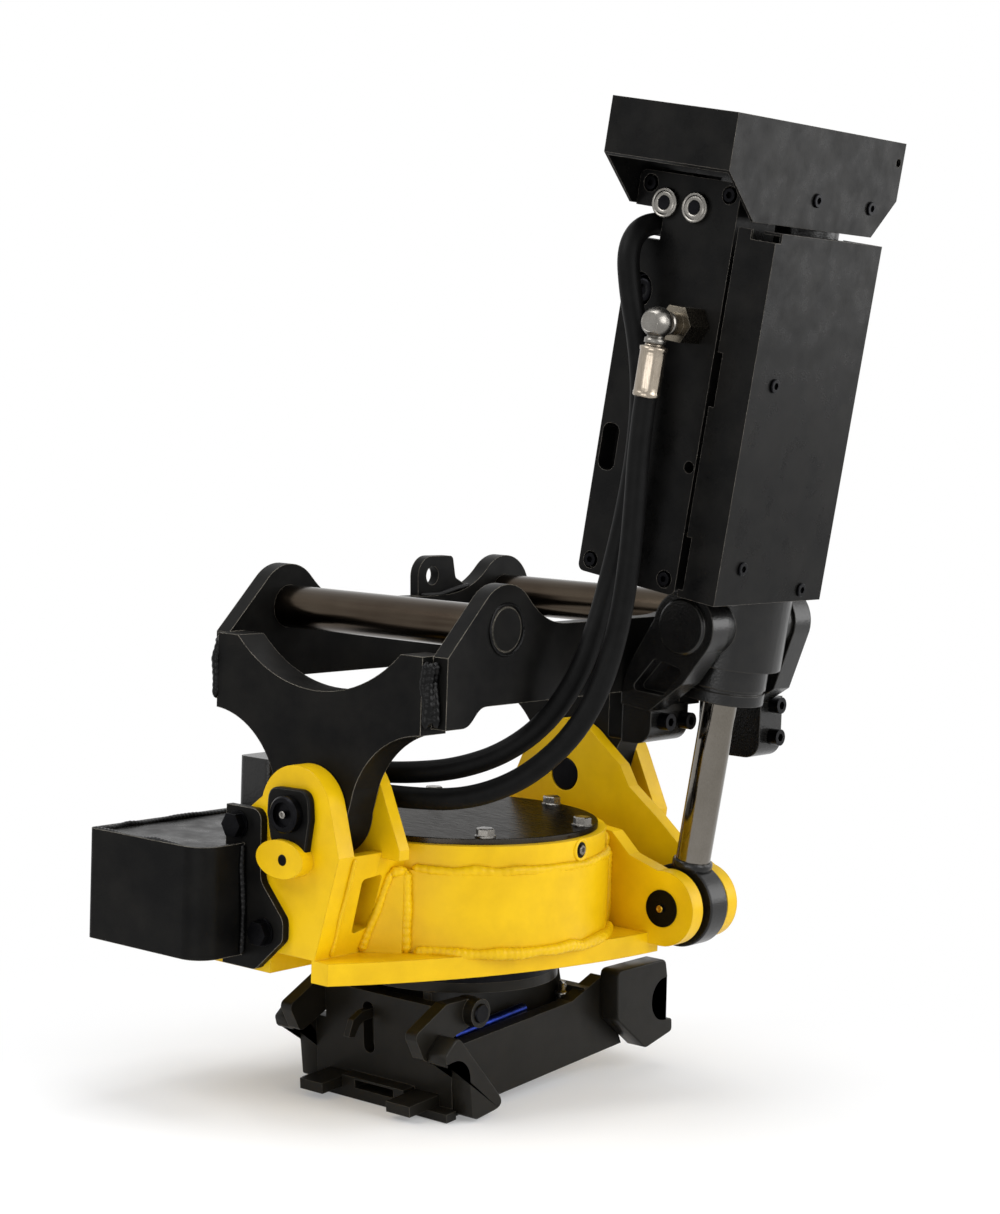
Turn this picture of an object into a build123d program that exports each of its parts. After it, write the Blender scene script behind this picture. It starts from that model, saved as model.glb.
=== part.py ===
from build123d import *
import math
import os

# Excavator tilt rotator, in millimetres.
# The origin is the middle of the front coupler pin, X points to the tilt cylinder, Y to the rear, Z up.

# Machine side coupler
coupler_pin_d = 60
coupler_spacing = 480
frame_clear = 375
side_t = 25
peak_r = 60
valley_z = 3
frame_front_y = -117
frame_rear_y = 545
frame_bottom_z = -126
frame_belly_z = -100

# Tilt axis and the two yokes that hang on it
tilt_z = -255
tilt_pin_d = 50
tilt_bush_t = 6
lug_r = 64
yoke_t = 50
front_lug_y = -138
rear_lug_y = 434
yoke_top_z = -31
yoke_low_z = -134
ear_gap = 2

# Rotor housing
rotor_y = 165
outer_ear_t = 30
inner_ear_t = 20
ear_r = 64
inner_ear_r = 84
base_t = 30
base_bottom_z = -478
drum_r = 212
drum_bore_r = 188
drum_top_z = -300
shoulder_z = -335
shoulder_t = 6
cover_r = 200
cover_t = 8

# Worm drive
wheel_teeth = 60
wheel_module = 5
wheel_face = 46
worm_z = -375
worm_pitch_r = 30
worm_starts = 1
tooth_play = 1.2
motor_d = 110
motor_len = 72

# Rotor and its bearings
journal_r = 118
neck_r = 96
bearing_wall = 10
running_fit = 0.05
hub_gap = 8
hub_flange_r = 150
hub_flange_t = 16

# Tilt cylinder
cyl_y = 380
trunnion_x = 314
trunnion_z = 0
rod_pin_x = 251
rod_pin_z = -410
trunnion_pin_d = 60
barrel_r = 76
gland_r = 60
tube_r = 60
bore_d = 100
rod_d = 50
piston_t = 48
eye_r = 60
eye_t = 40
rod_pin_head_d = 53
rod_pin_shank_d = 32
eye_bore_d = 106
clevis_t = 25
clevis_r = 54
clevis_front_y = 322
clevis_rear_y = 409

# Valve plate, cover box and hood on the cylinder
valve_y = -195
valve_t = 32
valve_x0 = -140
valve_x1 = 26
box_x1 = 96
box_y1 = 58
box_z0 = 54
box_z1 = 549
sheet = 4
hood_x0 = -146
hood_x1 = 58
hood_y0 = -275
hood_y1 = 136
hood_z1 = 692
hood_z0 = 558
hood_chamfer = 58

# Quick hitch below
hitch_pitch = 5
hitch_y = -12
hitch_z = -621
tool_pin_d = 60
tool_spacing = 480
hook_x = 160
hitch_beam_x = 127
hook_t = 33
beam_t = 22
beam_top = 36
beam_low = -57
front_plate_y = 31
front_plate_t = 20
lock_travel = 60
bottom_z = -50
bottom_t = 12
claw_in = 60
claw_w = 43
claw_t = 15

seat_gap = 0.3


def at(base, x=0, y=0, z=0):
    """A point of a group, given in the group's own axes."""
    return base.from_local_coords((x, y, z))


def facing_y(base, y):
    """The plane at y of a group, drawn in its x and z, whose front looks along -y."""
    return Plane(origin=at(base, 0, y, 0), x_dir=base.x_dir, z_dir=-base.y_dir)


def facing_x(base, x):
    """The plane at x of a group, drawn in its y and z, whose front looks along +x."""
    return Plane(origin=at(base, x, 0, 0), x_dir=base.y_dir, z_dir=base.x_dir)


def facing_z(base, z):
    """The plane at z of a group, drawn in its x and y, whose front looks along +z."""
    return Plane(origin=at(base, 0, 0, z), x_dir=base.x_dir, z_dir=base.z_dir)


machine = Plane.XY
rotor = Plane(origin=(0, rotor_y, 0), x_dir=(1, 0, 0), z_dir=(0, 0, 1))
tilt = Plane(origin=(0, 0, tilt_z), x_dir=(1, 0, 0), z_dir=(0, 0, 1))

reach = Vector(trunnion_x - rod_pin_x, 0, trunnion_z - rod_pin_z)
cyl_len = reach.length
cyl = Plane(
    origin=(trunnion_x, cyl_y, trunnion_z),
    x_dir=(reach.Z / cyl_len, 0, -reach.X / cyl_len),
    z_dir=(reach.X / cyl_len, 0, reach.Z / cyl_len),
)
pitch = math.radians(hitch_pitch)
hitch = Plane(
    origin=(0, hitch_y, hitch_z),
    x_dir=(1, 0, 0),
    z_dir=(0, -math.sin(pitch), math.cos(pitch)),
)

made = []


def finish(piece, name):
    """Label a finished piece and keep it for the export."""
    piece.part.label = name
    made.append((name, piece.part))


def round_bar(base, axis, start, end, d, x=0, y=0, z=0):
    """A round bar of a group along x, y or z, from start to end, through the point given."""
    if axis == "y":
        plane = Plane(origin=at(base, x, start, z), x_dir=base.x_dir, z_dir=base.y_dir)
    elif axis == "x":
        plane = Plane(origin=at(base, start, y, z), x_dir=base.y_dir, z_dir=base.x_dir)
    else:
        plane = Plane(origin=at(base, x, y, start), x_dir=base.x_dir, z_dir=base.z_dir)
    with BuildPart(mode=Mode.PRIVATE) as bar:
        with BuildSketch(plane):
            Circle(d / 2)
        extrude(amount=end - start)
    return bar.part


# Upper frame: two side plates with peaks round the coupler pins, a front and a rear yoke, a lifting eye
frame_half = frame_clear / 2
frame_out = frame_half + side_t
foot_y = frame_front_y
foot_z = -32


def side_plate(x0):
    """One side plate, from x0 outwards by its thickness."""
    with BuildPart(mode=Mode.PRIVATE) as plate:
        with BuildSketch(facing_x(machine, x0)):
            with BuildLine():
                rise = math.atan2(-foot_z, -foot_y)
                lean = rise + math.asin(peak_r / math.hypot(foot_y, foot_z))
                t1 = (-peak_r * math.sin(lean), peak_r * math.cos(lean))
                t2 = (peak_r * math.sin(math.pi / 4), peak_r * math.cos(math.pi / 4))
                v1 = (coupler_spacing * 0.27, valley_z)
                v2 = (coupler_spacing * 0.68, valley_z)
                t3 = (coupler_spacing - t2[0], t2[1])
                Polyline((foot_y, frame_bottom_z), (foot_y, foot_z), t1)
                ThreePointArc(t1, (0, peak_r), t2)
                Spline(t2, v1, tangents=((1, -1), (1, 0)))
                Line(v1, v2)
                Spline(v2, t3, tangents=((1, 0), (1, 1)))
                ThreePointArc(t3, (coupler_spacing, peak_r), (coupler_spacing + peak_r, 0))
                Polyline(
                    (coupler_spacing + peak_r, 0),
                    (frame_rear_y, frame_bottom_z),
                    (frame_rear_y - 32, frame_bottom_z),
                )
                Spline(
                    (frame_rear_y - 32, frame_bottom_z),
                    (frame_rear_y - 82, frame_belly_z),
                    tangents=((-1, 0), (-1, 0)),
                )
                Line((frame_rear_y - 82, frame_belly_z), (foot_y + 82, frame_belly_z))
                Spline(
                    (foot_y + 82, frame_belly_z),
                    (foot_y + 32, frame_bottom_z),
                    tangents=((-1, 0), (-1, 0)),
                )
                Line((foot_y + 32, frame_bottom_z), (foot_y, frame_bottom_z))
            make_face()
        extrude(amount=side_t)
    return plate.part


def yoke(y0):
    """One yoke plate with its hourglass outline and the round lug at the tilt axis."""
    with BuildPart(mode=Mode.PRIVATE) as plate:
        with BuildSketch(facing_y(machine, y0)):
            with BuildLine():
                w = frame_half
                shoulder = frame_half - 38
                neck = lug_r + 10
                Polyline((-w, yoke_low_z), (-w, yoke_top_z), (-shoulder, yoke_top_z))
                ThreePointArc((-shoulder, yoke_top_z), (0, yoke_top_z - 62), (shoulder, yoke_top_z))
                Polyline((shoulder, yoke_top_z), (w, yoke_top_z), (w, yoke_low_z))
                ThreePointArc((w, yoke_low_z), (112, -164), (neck, -218))
                Line((neck, -218), (lug_r, tilt_z))
                ThreePointArc((lug_r, tilt_z), (0, tilt_z - lug_r), (-lug_r, tilt_z))
                Line((-lug_r, tilt_z), (-neck, -218))
                ThreePointArc((-neck, -218), (-112, -164), (-w, yoke_low_z))
            make_face()
        extrude(amount=-yoke_t)
    return plate.part


lift_eye_y = 313
lift_eye_z = 33
lift_hole_d = 28
screw_d = 16
near_block = (262, 350)
far_block = (484, 540)
near_low = -170
far_low = -205
pad_top_z = -90
near_screws = [(288, -138), (337, -140)]
far_screws = [(515, -127), (515, -174)]

with BuildPart() as upper_frame:
    add(side_plate(frame_half))
    add(side_plate(-frame_out))
    add(yoke(front_lug_y))
    add(yoke(rear_lug_y))
    # lifting eye on the far plate
    with BuildSketch(facing_x(machine, -frame_out + 4)):
        with BuildLine():
            FilletPolyline(
                (lift_eye_y - 30, -20),
                (lift_eye_y - 34, lift_eye_z + 30),
                (lift_eye_y + 46, lift_eye_z + 29),
                (lift_eye_y + 54, lift_eye_z - 5),
                (lift_eye_y + 85, lift_eye_z - 19),
                (lift_eye_y + 85, -20),
                radius=(30, 8, 8, 8),
            )
            Line((lift_eye_y + 85, -20), (lift_eye_y - 30, -20))
        make_face()
    extrude(amount=16)
    hole = round_bar(machine, "x", -frame_out, -frame_half, lift_hole_d, y=lift_eye_y, z=lift_eye_z)
    add(hole, mode=Mode.SUBTRACT)
    # seats of the coupler pins and of the tilt bushes
    for y in (0, coupler_spacing):
        seat = round_bar(machine, "x", -frame_out, frame_out, coupler_pin_d, y=y)
        add(seat, mode=Mode.SUBTRACT)
    for y in (front_lug_y, rear_lug_y):
        seat = round_bar(tilt, "y", y, y + yoke_t, tilt_pin_d + 2 * tilt_bush_t)
        add(seat, mode=Mode.SUBTRACT)
    # mounting pads and tapped holes for the trunnion brackets
    for (y0, y1), low in ((near_block, near_low + 2), (far_block, far_low + 2)):
        with BuildSketch(facing_x(machine, frame_half)):
            with Locations(((y0 + y1) / 2, (low + pad_top_z) / 2)):
                RectangleRounded(y1 - y0 - 4, pad_top_z - low, 8)
        extrude(amount=side_t)
    for y, z in near_screws + far_screws:
        hole = round_bar(machine, "x", frame_half + 2, frame_out, screw_d, y=y, z=z)
        add(hole, mode=Mode.SUBTRACT)
finish(upper_frame, "upper_frame")

for name, y in (("coupler_pin_front", 0), ("coupler_pin_rear", coupler_spacing)):
    with BuildPart() as coupler_pin:
        add(round_bar(machine, "x", -frame_out, frame_out, coupler_pin_d, y=y))
        ends = coupler_pin.edges().filter_by(GeomType.CIRCLE)
        chamfer(ends, 2)
    finish(coupler_pin, name)

for name, y in (("tilt_bush_front", front_lug_y), ("tilt_bush_rear", rear_lug_y)):
    with BuildPart() as tilt_bush:
        with BuildSketch(facing_y(tilt, y)):
            Circle(tilt_pin_d / 2 + tilt_bush_t)
            Circle(tilt_pin_d / 2 + running_fit, mode=Mode.SUBTRACT)
        extrude(amount=-yoke_t)
    finish(tilt_bush, name)

# Trunnion brackets: a bolted block, two arms and a round boss that holds the trunnion pin
boss_r = 50
boss_t = 40
flank_y = barrel_r + 6
cap_t = 7
near_out = frame_out + 50
far_out = frame_out + 84
block_top = -116
block_round = 25
hollow_t = 22
near_edge = [(trunnion_x + 38, -33), (trunnion_x + 2, -80), (trunnion_x - 32, -106), (near_out, -122)]
near_hollow = [(228, -94), (268, -48), (318, -60), (284, -98)]
far_edge = [(trunnion_x + 47, -17), (trunnion_x + 18, -98), (far_out, -122)]
far_hollow = [(228, -94), (268, -48), (334, -62), (318, -96)]


def bracket(y0, y1, block_y0, block_y1, block_x, low, edge, hollow, screws, name):
    """A trunnion bracket: arms and boss from y0 to y1, block from block_y0 to block_y1 out to block_x."""
    with BuildPart() as part:
        with BuildSketch(facing_y(machine, block_y0)):
            with BuildLine():
                turn = block_round * (1 - math.sin(math.pi / 4))
                arc_foot = (block_x - block_round, low)
                Polyline((block_x, block_top), (frame_out, block_top), (frame_out, low), arc_foot)
                ThreePointArc(arc_foot, (block_x - turn, low + turn), (block_x, low + block_round))
                Line((block_x, low + block_round), (block_x, block_top))
            make_face()
        extrude(amount=block_y0 - block_y1)
        with BuildSketch(facing_y(machine, y0)):
            with BuildLine():
                Polyline(
                    (frame_out, block_top),
                    (frame_out, block_top + 20),
                    (frame_out + 10, -62),
                    (trunnion_x - boss_r + 2, trunnion_z + 10),
                    *edge,
                    close=True,
                )
            make_face()
            with Locations((trunnion_x, trunnion_z)):
                Circle(boss_r)
        extrude(amount=y0 - y1)
        bore = round_bar(machine, "y", y0, y1, trunnion_pin_d, x=trunnion_x, z=trunnion_z)
        add(bore, mode=Mode.SUBTRACT)
        # hollow between the two arms, on the outer side
        outer = y0 if y0 < cyl_y else y1
        with BuildSketch(facing_y(machine, outer)):
            with BuildLine():
                FilletPolyline(*hollow, radius=6, close=True)
            make_face()
        extrude(amount=-hollow_t if outer == y0 else hollow_t, mode=Mode.SUBTRACT)
        for y, z in screws:
            add(round_bar(machine, "x", frame_out, block_x, screw_d + 1, y=y, z=z), mode=Mode.SUBTRACT)
    finish(part, name)


bracket(
    cyl_y - flank_y - boss_t, cyl_y - flank_y, near_block[0], near_block[1], near_out, near_low,
    near_edge, near_hollow, near_screws, "trunnion_bracket_front")
bracket(
    cyl_y + flank_y, cyl_y + flank_y + boss_t, far_block[0], far_block[1], far_out, far_low,
    far_edge, far_hollow, far_screws, "trunnion_bracket_rear")



def socket_screw(base, axis, face, d, length, dx=0, dy=0, dz=0, sign=1):
    """A socket head screw: head on the face, shank into it, hexagon in the head."""
    back = face - sign * length
    top = face + sign * d
    wide = d * 1.5
    key = d * 0.8
    low, high = sorted((back, face))
    shank = round_bar(base, axis, low, high, d, dx, dy, dz)
    low, high = sorted((face, top))
    head = round_bar(base, axis, low, high, wide, dx, dy, dz)
    planes = {"x": facing_x(base, top), "y": facing_y(base, top), "z": facing_z(base, top)}
    spots = {"x": (dy, dz), "y": (dx, dz), "z": (dx, dy)}
    with BuildPart(mode=Mode.PRIVATE) as screw:
        add(shank)
        add(head)
        with BuildSketch(planes[axis]):
            with Locations(spots[axis]):
                RegularPolygon(key / 2, 6)
        inward = sign if axis == "y" else -sign
        extrude(amount=inward * d * 0.5, mode=Mode.SUBTRACT)
    return screw.part


with BuildPart() as bracket_screws:
    for out, screws in ((near_out, near_screws), (far_out, far_screws)):
        for y, z in screws:
            add(socket_screw(machine, "x", out, screw_d, out - frame_out + 20, dy=y, dz=z))
finish(bracket_screws, "bracket_screws")

for name, side in (("trunnion_pin_front", -1), ("trunnion_pin_rear", 1)):
    inner = side * (flank_y - 24)
    outer = side * (flank_y + boss_t)
    cap = side * (flank_y + boss_t + cap_t)
    with BuildPart() as trunnion_pin:
        low, high = sorted((inner, outer))
        add(round_bar(cyl, "y", low, high, trunnion_pin_d))
        low, high = sorted((outer, cap))
        add(round_bar(cyl, "y", low, high, trunnion_pin_d + 18))
        rim = trunnion_pin.edges().filter_by(GeomType.CIRCLE).sort_by(Axis.Y)
        chamfer(rim[-1] if side > 0 else rim[0], 3)
    finish(trunnion_pin, name)

# Rotor housing: base plate, drum, two pairs of tilt ears, clevis ears and the worm casing
drum_low_z = base_bottom_z + base_t
ear_front_y = front_lug_y - ear_gap - outer_ear_t
ear2_y = front_lug_y + yoke_t + ear_gap
rear_ear_y = rear_lug_y - ear_gap - (clevis_t - 2)
rear_outer_y = rear_lug_y + yoke_t + ear_gap
rear_end_y = rear_outer_y + outer_ear_t
base_side = 230
worm_x = -(wheel_teeth * wheel_module / 2 + worm_pitch_r)
casing_r = 54
casing_rear_y = 330
guard_wall = 6
guard_x0 = -305
guard_x1 = -82
guard_y0 = -262
guard_y1 = 46
guard_z0 = -458
guard_z1 = -305
eye_notch_x = 136
rib_top_x = 81
rib_foot_x = 42
rib_top_z = -306
notch_y = -87
prong = (39, 67)
breather_x = -7
breather_z = -316


def plate_y(points, y0, t, arcs=None):
    """A plate across the machine: outline in x and z, from y0 rearwards by t."""
    with BuildPart(mode=Mode.PRIVATE) as plate:
        with BuildSketch(facing_y(machine, y0)):
            with BuildLine():
                Polyline(*points, close=True)
            make_face()
            if arcs:
                for x, z, r in arcs:
                    with Locations((x, z)):
                        Circle(r)
        extrude(amount=-t)
    return plate.part


def tangent_point(cx, cz, r, px, pz, side):
    """Where a line from a point touches a circle, on the left or the right of it."""
    d = math.hypot(px - cx, pz - cz)
    a = math.atan2(pz - cz, px - cx) + side * math.acos(r / d)
    return (cx + r * math.cos(a), cz + r * math.sin(a))


with BuildPart() as rotor_housing:
    # base plate with the two prongs under the front ear
    with BuildSketch(facing_z(machine, base_bottom_z)):
        with BuildLine():
            ThreePointArc((prong[1], ear_front_y), (178, 60), (base_side, 345))
            Polyline(
                (base_side, 345),
                (eye_notch_x, 345),
                (eye_notch_x, rear_ear_y + 2),
                (base_side, rear_ear_y + 2),
                (base_side, rear_ear_y + clevis_t),
                (120, rear_end_y),
                (-120, rear_end_y),
                (-base_side, 420),
                (-base_side, -60),
                (-150, ear_front_y),
                (-prong[0], ear_front_y),
                (-prong[0], notch_y),
                (prong[0] - 2, notch_y),
                (prong[0] - 2, ear_front_y),
                (prong[1], ear_front_y),
            )
        make_face()
    extrude(amount=base_t)
    # drum
    with BuildSketch(facing_z(rotor, drum_low_z)):
        Circle(drum_r)
    extrude(amount=drum_top_z - drum_low_z)
    with BuildSketch(facing_z(rotor, drum_low_z)):
        Circle(drum_r + shoulder_t)
    extrude(amount=shoulder_z - drum_low_z)
    # worm casing along the left side
    casing_x0 = worm_x - casing_r
    with BuildSketch(facing_y(machine, ear_front_y + 10)):
        with Locations((worm_x, worm_z)):
            Circle(casing_r)
        with Locations((worm_x, (worm_z + drum_low_z) / 2)):
            Rectangle(2 * casing_r, worm_z - drum_low_z)
    extrude(amount=ear_front_y + 10 - casing_rear_y)
    # front ears
    right = (rib_top_x, rib_top_z)
    touch_r = tangent_point(0, tilt_z, ear_r, right[0], right[1], 1)
    add(plate_y(
        [touch_r, right, (rib_foot_x, drum_low_z), (60 - base_side, drum_low_z), (-base_side, -400),
         (-base_side, -345), (-122, -334), (-118, -290), (-96, -266), (-60, -238), (0, tilt_z)],
        ear_front_y, outer_ear_t, [(0, tilt_z, ear_r)]))
    foot = (112, drum_top_z)
    touch = tangent_point(0, tilt_z, inner_ear_r, foot[0], foot[1], 1)
    add(plate_y(
        [touch, foot, (foot[0], rib_top_z - 8), (rib_top_x - 2, rib_top_z - 8), (rib_foot_x, drum_low_z),
         (-foot[0], drum_low_z), (-foot[0], foot[1]), (-touch[0], touch[1]), (0, tilt_z)],
        ear2_y, inner_ear_t, [(0, tilt_z, inner_ear_r)]))
    # web from the slotted panel to the drum
    with BuildSketch(facing_z(machine, drum_low_z)):
        with BuildLine():
            Polyline((rib_foot_x, -82), (88, -48), (80, -30), (rib_foot_x - 10, -30), close=True)
        make_face()
    extrude(amount=shoulder_z - drum_low_z)
    # leaning rib panels between the front ears, the right one with a slot
    for s in (1, -1):
        with BuildSketch(facing_y(machine, ear_front_y + outer_ear_t)):
            with BuildLine():
                Polyline(
                    (s * rib_top_x, rib_top_z), (s * rib_foot_x, drum_low_z),
                    (s * (rib_foot_x - 18), drum_low_z), (s * (rib_top_x - 18), rib_top_z), close=True)
            make_face()
        extrude(amount=-(rotor_y - drum_r - ear_front_y - outer_ear_t + 24))
    # rear ears, the inner one running out to the far clevis ear
    ear_eye = (0, tilt_z, inner_ear_r)
    clevis_eye = (rod_pin_x, rod_pin_z, clevis_r)
    clevis_top = rod_pin_z + clevis_r - 1
    clevis_low = rod_pin_z - clevis_r + 1
    back_touch = (-touch[0], touch[1])
    add(plate_y(
        [(60, -196), (103, -230), (120, -259), (173, -298), (209, -328), (rod_pin_x + 12, clevis_top),
         (rod_pin_x + 10, clevis_low), (200, drum_low_z), (-112, drum_low_z), (-112, drum_top_z),
         back_touch, (0, tilt_z)],
        rear_ear_y, clevis_t - 2, [ear_eye, clevis_eye]))
    add(plate_y(
        [touch, (115, -303), (100, drum_low_z), (-100, drum_low_z), (-115, -303), back_touch, (0, tilt_z)],
        rear_outer_y, outer_ear_t, [ear_eye]))
    # near clevis ear on the drum
    add(plate_y(
        [(100, -306), (158, -312), (190, -341), (rod_pin_x - 8, clevis_top), (rod_pin_x + 4, clevis_low),
         (100, drum_low_z - 16)],
        clevis_front_y, clevis_t, [clevis_eye]))
    # slot in the right rib panel
    with BuildSketch(facing_x(machine, 20)):
        with BuildLine():
            FilletPolyline((-112, -342), (-74, -338), (-74, -412), (-108, -420), radius=6, close=True)
        make_face()
    extrude(amount=90, mode=Mode.SUBTRACT)
    # inner space: drum bore, bearing seat, worm bore
    with BuildSketch(facing_z(rotor, drum_low_z)):
        Circle(drum_bore_r)
    extrude(amount=drum_top_z - drum_low_z, mode=Mode.SUBTRACT)
    add(round_bar(rotor, "z", base_bottom_z, drum_low_z, 2 * (journal_r + bearing_wall)), mode=Mode.SUBTRACT)
    add(round_bar(machine, "y", ear_front_y, casing_rear_y - 12, 2 * (worm_pitch_r + 14), x=worm_x, z=worm_z),
        mode=Mode.SUBTRACT)
    # bores for the pins
    for y0, y1 in ((ear_front_y, ear2_y + inner_ear_t), (rear_ear_y, rear_end_y)):
        add(round_bar(tilt, "y", y0, y1, tilt_pin_d), mode=Mode.SUBTRACT)
    seat = round_bar(machine, "y", clevis_front_y, rear_ear_y + clevis_t, rod_pin_head_d, x=rod_pin_x, z=rod_pin_z)
    add(seat, mode=Mode.SUBTRACT)
    # oval boss for the breather on the front ear
    with BuildSketch(facing_y(machine, ear_front_y)):
        with Locations((breather_x, breather_z)):
            Ellipse(43, 26)
    extrude(amount=22)
    add(round_bar(machine, "y", ear_front_y - 22, ear_front_y + 12, 14, x=breather_x + 6, z=breather_z),
        mode=Mode.SUBTRACT)
finish(rotor_housing, "rotor_housing")

# Tilt pins with their lock plates
pin_head = 26
for name, y0, y1 in (
    ("tilt_pin_front", ear_front_y - pin_head, ear2_y + inner_ear_t),
    ("tilt_pin_rear", rear_ear_y, rear_end_y + pin_head),
):
    with BuildPart() as tilt_pin:
        add(round_bar(tilt, "y", y0, y1, tilt_pin_d))
        chamfer(tilt_pin.edges().filter_by(GeomType.CIRCLE), 2.5)
        end = y0 if y0 < 0 else y1
        nose = round_bar(tilt, "y", min(end, end + 6), max(end, end + 6), 34)
        if y0 < 0:
            add(nose, mode=Mode.SUBTRACT)
            add(round_bar(tilt, "y", y0 + 1, y0 + 6, 10))
    finish(tilt_pin, name)

for name, face, out in (("tilt_lock_front", ear_front_y, -1), ("tilt_lock_rear", rear_end_y, 1)):
    with BuildPart() as lock_plate:
        with BuildSketch(facing_y(tilt, face)):
            with BuildLine():
                Polyline((-32, 0), (-26, -30), (-12, -35), (22, -24), close=True)
            make_face()
            Circle(33)
            Circle(tilt_pin_d / 2, mode=Mode.SUBTRACT)
        extrude(amount=-out * 12)
    finish(lock_plate, name)

# Cover disc with its hexagon bolts
cover_bolt_pcd_r = cover_r - 16
cover_bolts_n = 6
cover_bolt_start = 22
cover_bolt_d = 12
with BuildPart() as cover_disc:
    with BuildSketch(facing_z(rotor, drum_top_z)):
        Circle(cover_r)
    extrude(amount=cover_t)
    chamfer(cover_disc.faces().sort_by(Axis.Z)[-1].edges(), 1)
    with Locations(facing_z(rotor, drum_top_z + cover_t)):
        with PolarLocations(cover_bolt_pcd_r, cover_bolts_n, start_angle=cover_bolt_start):
            Hole(cover_bolt_d / 2)
finish(cover_disc, "cover_disc")


def hex_bolt(base, axis, face, d, length, dx=0, dy=0, dz=0, sign=1):
    """A hexagon bolt with its washer face on a plane."""
    head = 0.64 * d
    low, high = sorted((face, face - sign * length))
    shank = round_bar(base, axis, low, high, d, dx, dy, dz)
    planes = {"x": facing_x(base, face), "y": facing_y(base, face), "z": facing_z(base, face)}
    spots = {"x": (dy, dz), "y": (dx, dz), "z": (dx, dy)}
    outward = -sign if axis == "y" else sign
    with BuildPart(mode=Mode.PRIVATE) as bolt:
        add(shank)
        with BuildSketch(planes[axis]):
            with Locations(spots[axis]):
                Circle(0.95 * d)
        extrude(amount=outward * 0.12 * d)
        with BuildSketch(planes[axis]):
            with Locations(spots[axis]):
                RegularPolygon(0.87 * d, 6)
        extrude(amount=outward * (head + 0.12 * d))
    return bolt.part


with BuildPart() as cover_bolts:
    for k in range(cover_bolts_n):
        a = math.radians(cover_bolt_start + k * 360 / cover_bolts_n)
        x = cover_bolt_pcd_r * math.cos(a)
        y = cover_bolt_pcd_r * math.sin(a)
        add(hex_bolt(rotor, "z", drum_top_z + cover_t, cover_bolt_d, cover_t, dx=x, dy=y))
finish(cover_bolts, "cover_bolts")

# Worm wheel: gear teeth round a hub that carries the whole rotor
wheel_r = wheel_teeth * wheel_module / 2
root_r = wheel_r - 1.1 * wheel_module
tip_r = wheel_r + 0.7 * wheel_module
wheel_low = worm_z - wheel_face / 2
with BuildPart() as worm_wheel:
    with BuildSketch(facing_z(rotor, wheel_low)):
        Circle(root_r)
        with BuildSketch(mode=Mode.PRIVATE) as tooth:
            half_root = 0.30 * math.pi * wheel_module
            half_tip = 0.16 * math.pi * wheel_module
            with BuildLine():
                Polyline(
                    (root_r - 1, -half_root), (tip_r, -half_tip), (tip_r, half_tip), (root_r - 1, half_root),
                    close=True)
            make_face()
        with PolarLocations(0, wheel_teeth):
            add(tooth.sketch)
        Circle(neck_r, mode=Mode.SUBTRACT)
    extrude(amount=wheel_face)
finish(worm_wheel, "worm_wheel")

# Worm shaft with a cut thread
thread_turns = 4
lead = math.pi * wheel_module * worm_starts
worm_root_r = worm_pitch_r - 1.1 * wheel_module
worm_tip_r = worm_pitch_r + 0.7 * wheel_module
worm_span = thread_turns * lead
worm_front = ear_front_y + 1
worm_back = casing_rear_y - 16
journal_d = 35
thread_start = rotor_y - worm_span / 2 + 0.25 * lead
with BuildPart() as worm_shaft:
    add(round_bar(machine, "y", worm_front, worm_back, journal_d, x=worm_x, z=worm_z))
    core_end = thread_start + worm_span + 14
    add(round_bar(machine, "y", thread_start - 14, core_end, 2 * worm_root_r, x=worm_x, z=worm_z))
    with BuildLine() as thread_path:
        Helix(lead, worm_span, worm_root_r, center=(worm_x, thread_start, worm_z), direction=(0, 1, 0))
    first = thread_path.line @ 0
    outwards = first - Vector(worm_x, thread_start, worm_z)
    with BuildSketch(Plane(origin=first, x_dir=outwards, z_dir=thread_path.line % 0)):
        with BuildLine():
            low = 0.5 * lead - 0.24 * lead - tooth_play / 2
            high = 0.12 * lead
            crest = worm_tip_r - worm_root_r
            Polyline((-1.5, -low), (crest, -high), (crest, high), (-1.5, low), close=True)
        make_face()
    sweep(path=thread_path.line, is_frenet=True)
finish(worm_shaft, "worm_shaft")

bearing_od = 2 * (worm_pitch_r + 14)
bearing_w = 22
with BuildPart() as worm_bearings:
    for y in (ear_front_y + 20, casing_rear_y - 12 - bearing_w):
        with BuildSketch(Plane(origin=(worm_x, y, worm_z), x_dir=(1, 0, 0), z_dir=(0, 1, 0))):
            Circle(bearing_od / 2)
            Circle(journal_d / 2 + running_fit, mode=Mode.SUBTRACT)
        extrude(amount=bearing_w)
finish(worm_bearings, "worm_bearings")

# Hydraulic motor on the front end of the worm casing
with BuildPart() as swing_motor:
    with BuildSketch(Plane(origin=(worm_x, ear_front_y, worm_z), x_dir=(1, 0, 0), z_dir=(0, -1, 0))):
        RectangleRounded(motor_d, motor_d, 18)
    extrude(amount=14)
    with BuildSketch(Plane(origin=(worm_x, ear_front_y - 14, worm_z), x_dir=(1, 0, 0), z_dir=(0, -1, 0))):
        Circle(motor_d / 2 - 4)
    extrude(amount=motor_len - 14)
    with BuildSketch(facing_z(machine, worm_z + motor_d / 2 - 12)):
        for s in (-1, 1):
            with Locations((worm_x + s * 22, ear_front_y - 42)):
                Circle(12)
    extrude(amount=22 - 10)
finish(swing_motor, "swing_motor")

# Motor guard: a welded box bolted to the front ear
flange_y = ear_front_y - 12
guard_corner = 34
guard_bolt_spots = [(-95, -281), (-42, -421)]
guard_strip_x = -base_side - 8
guard_inset = 6


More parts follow.
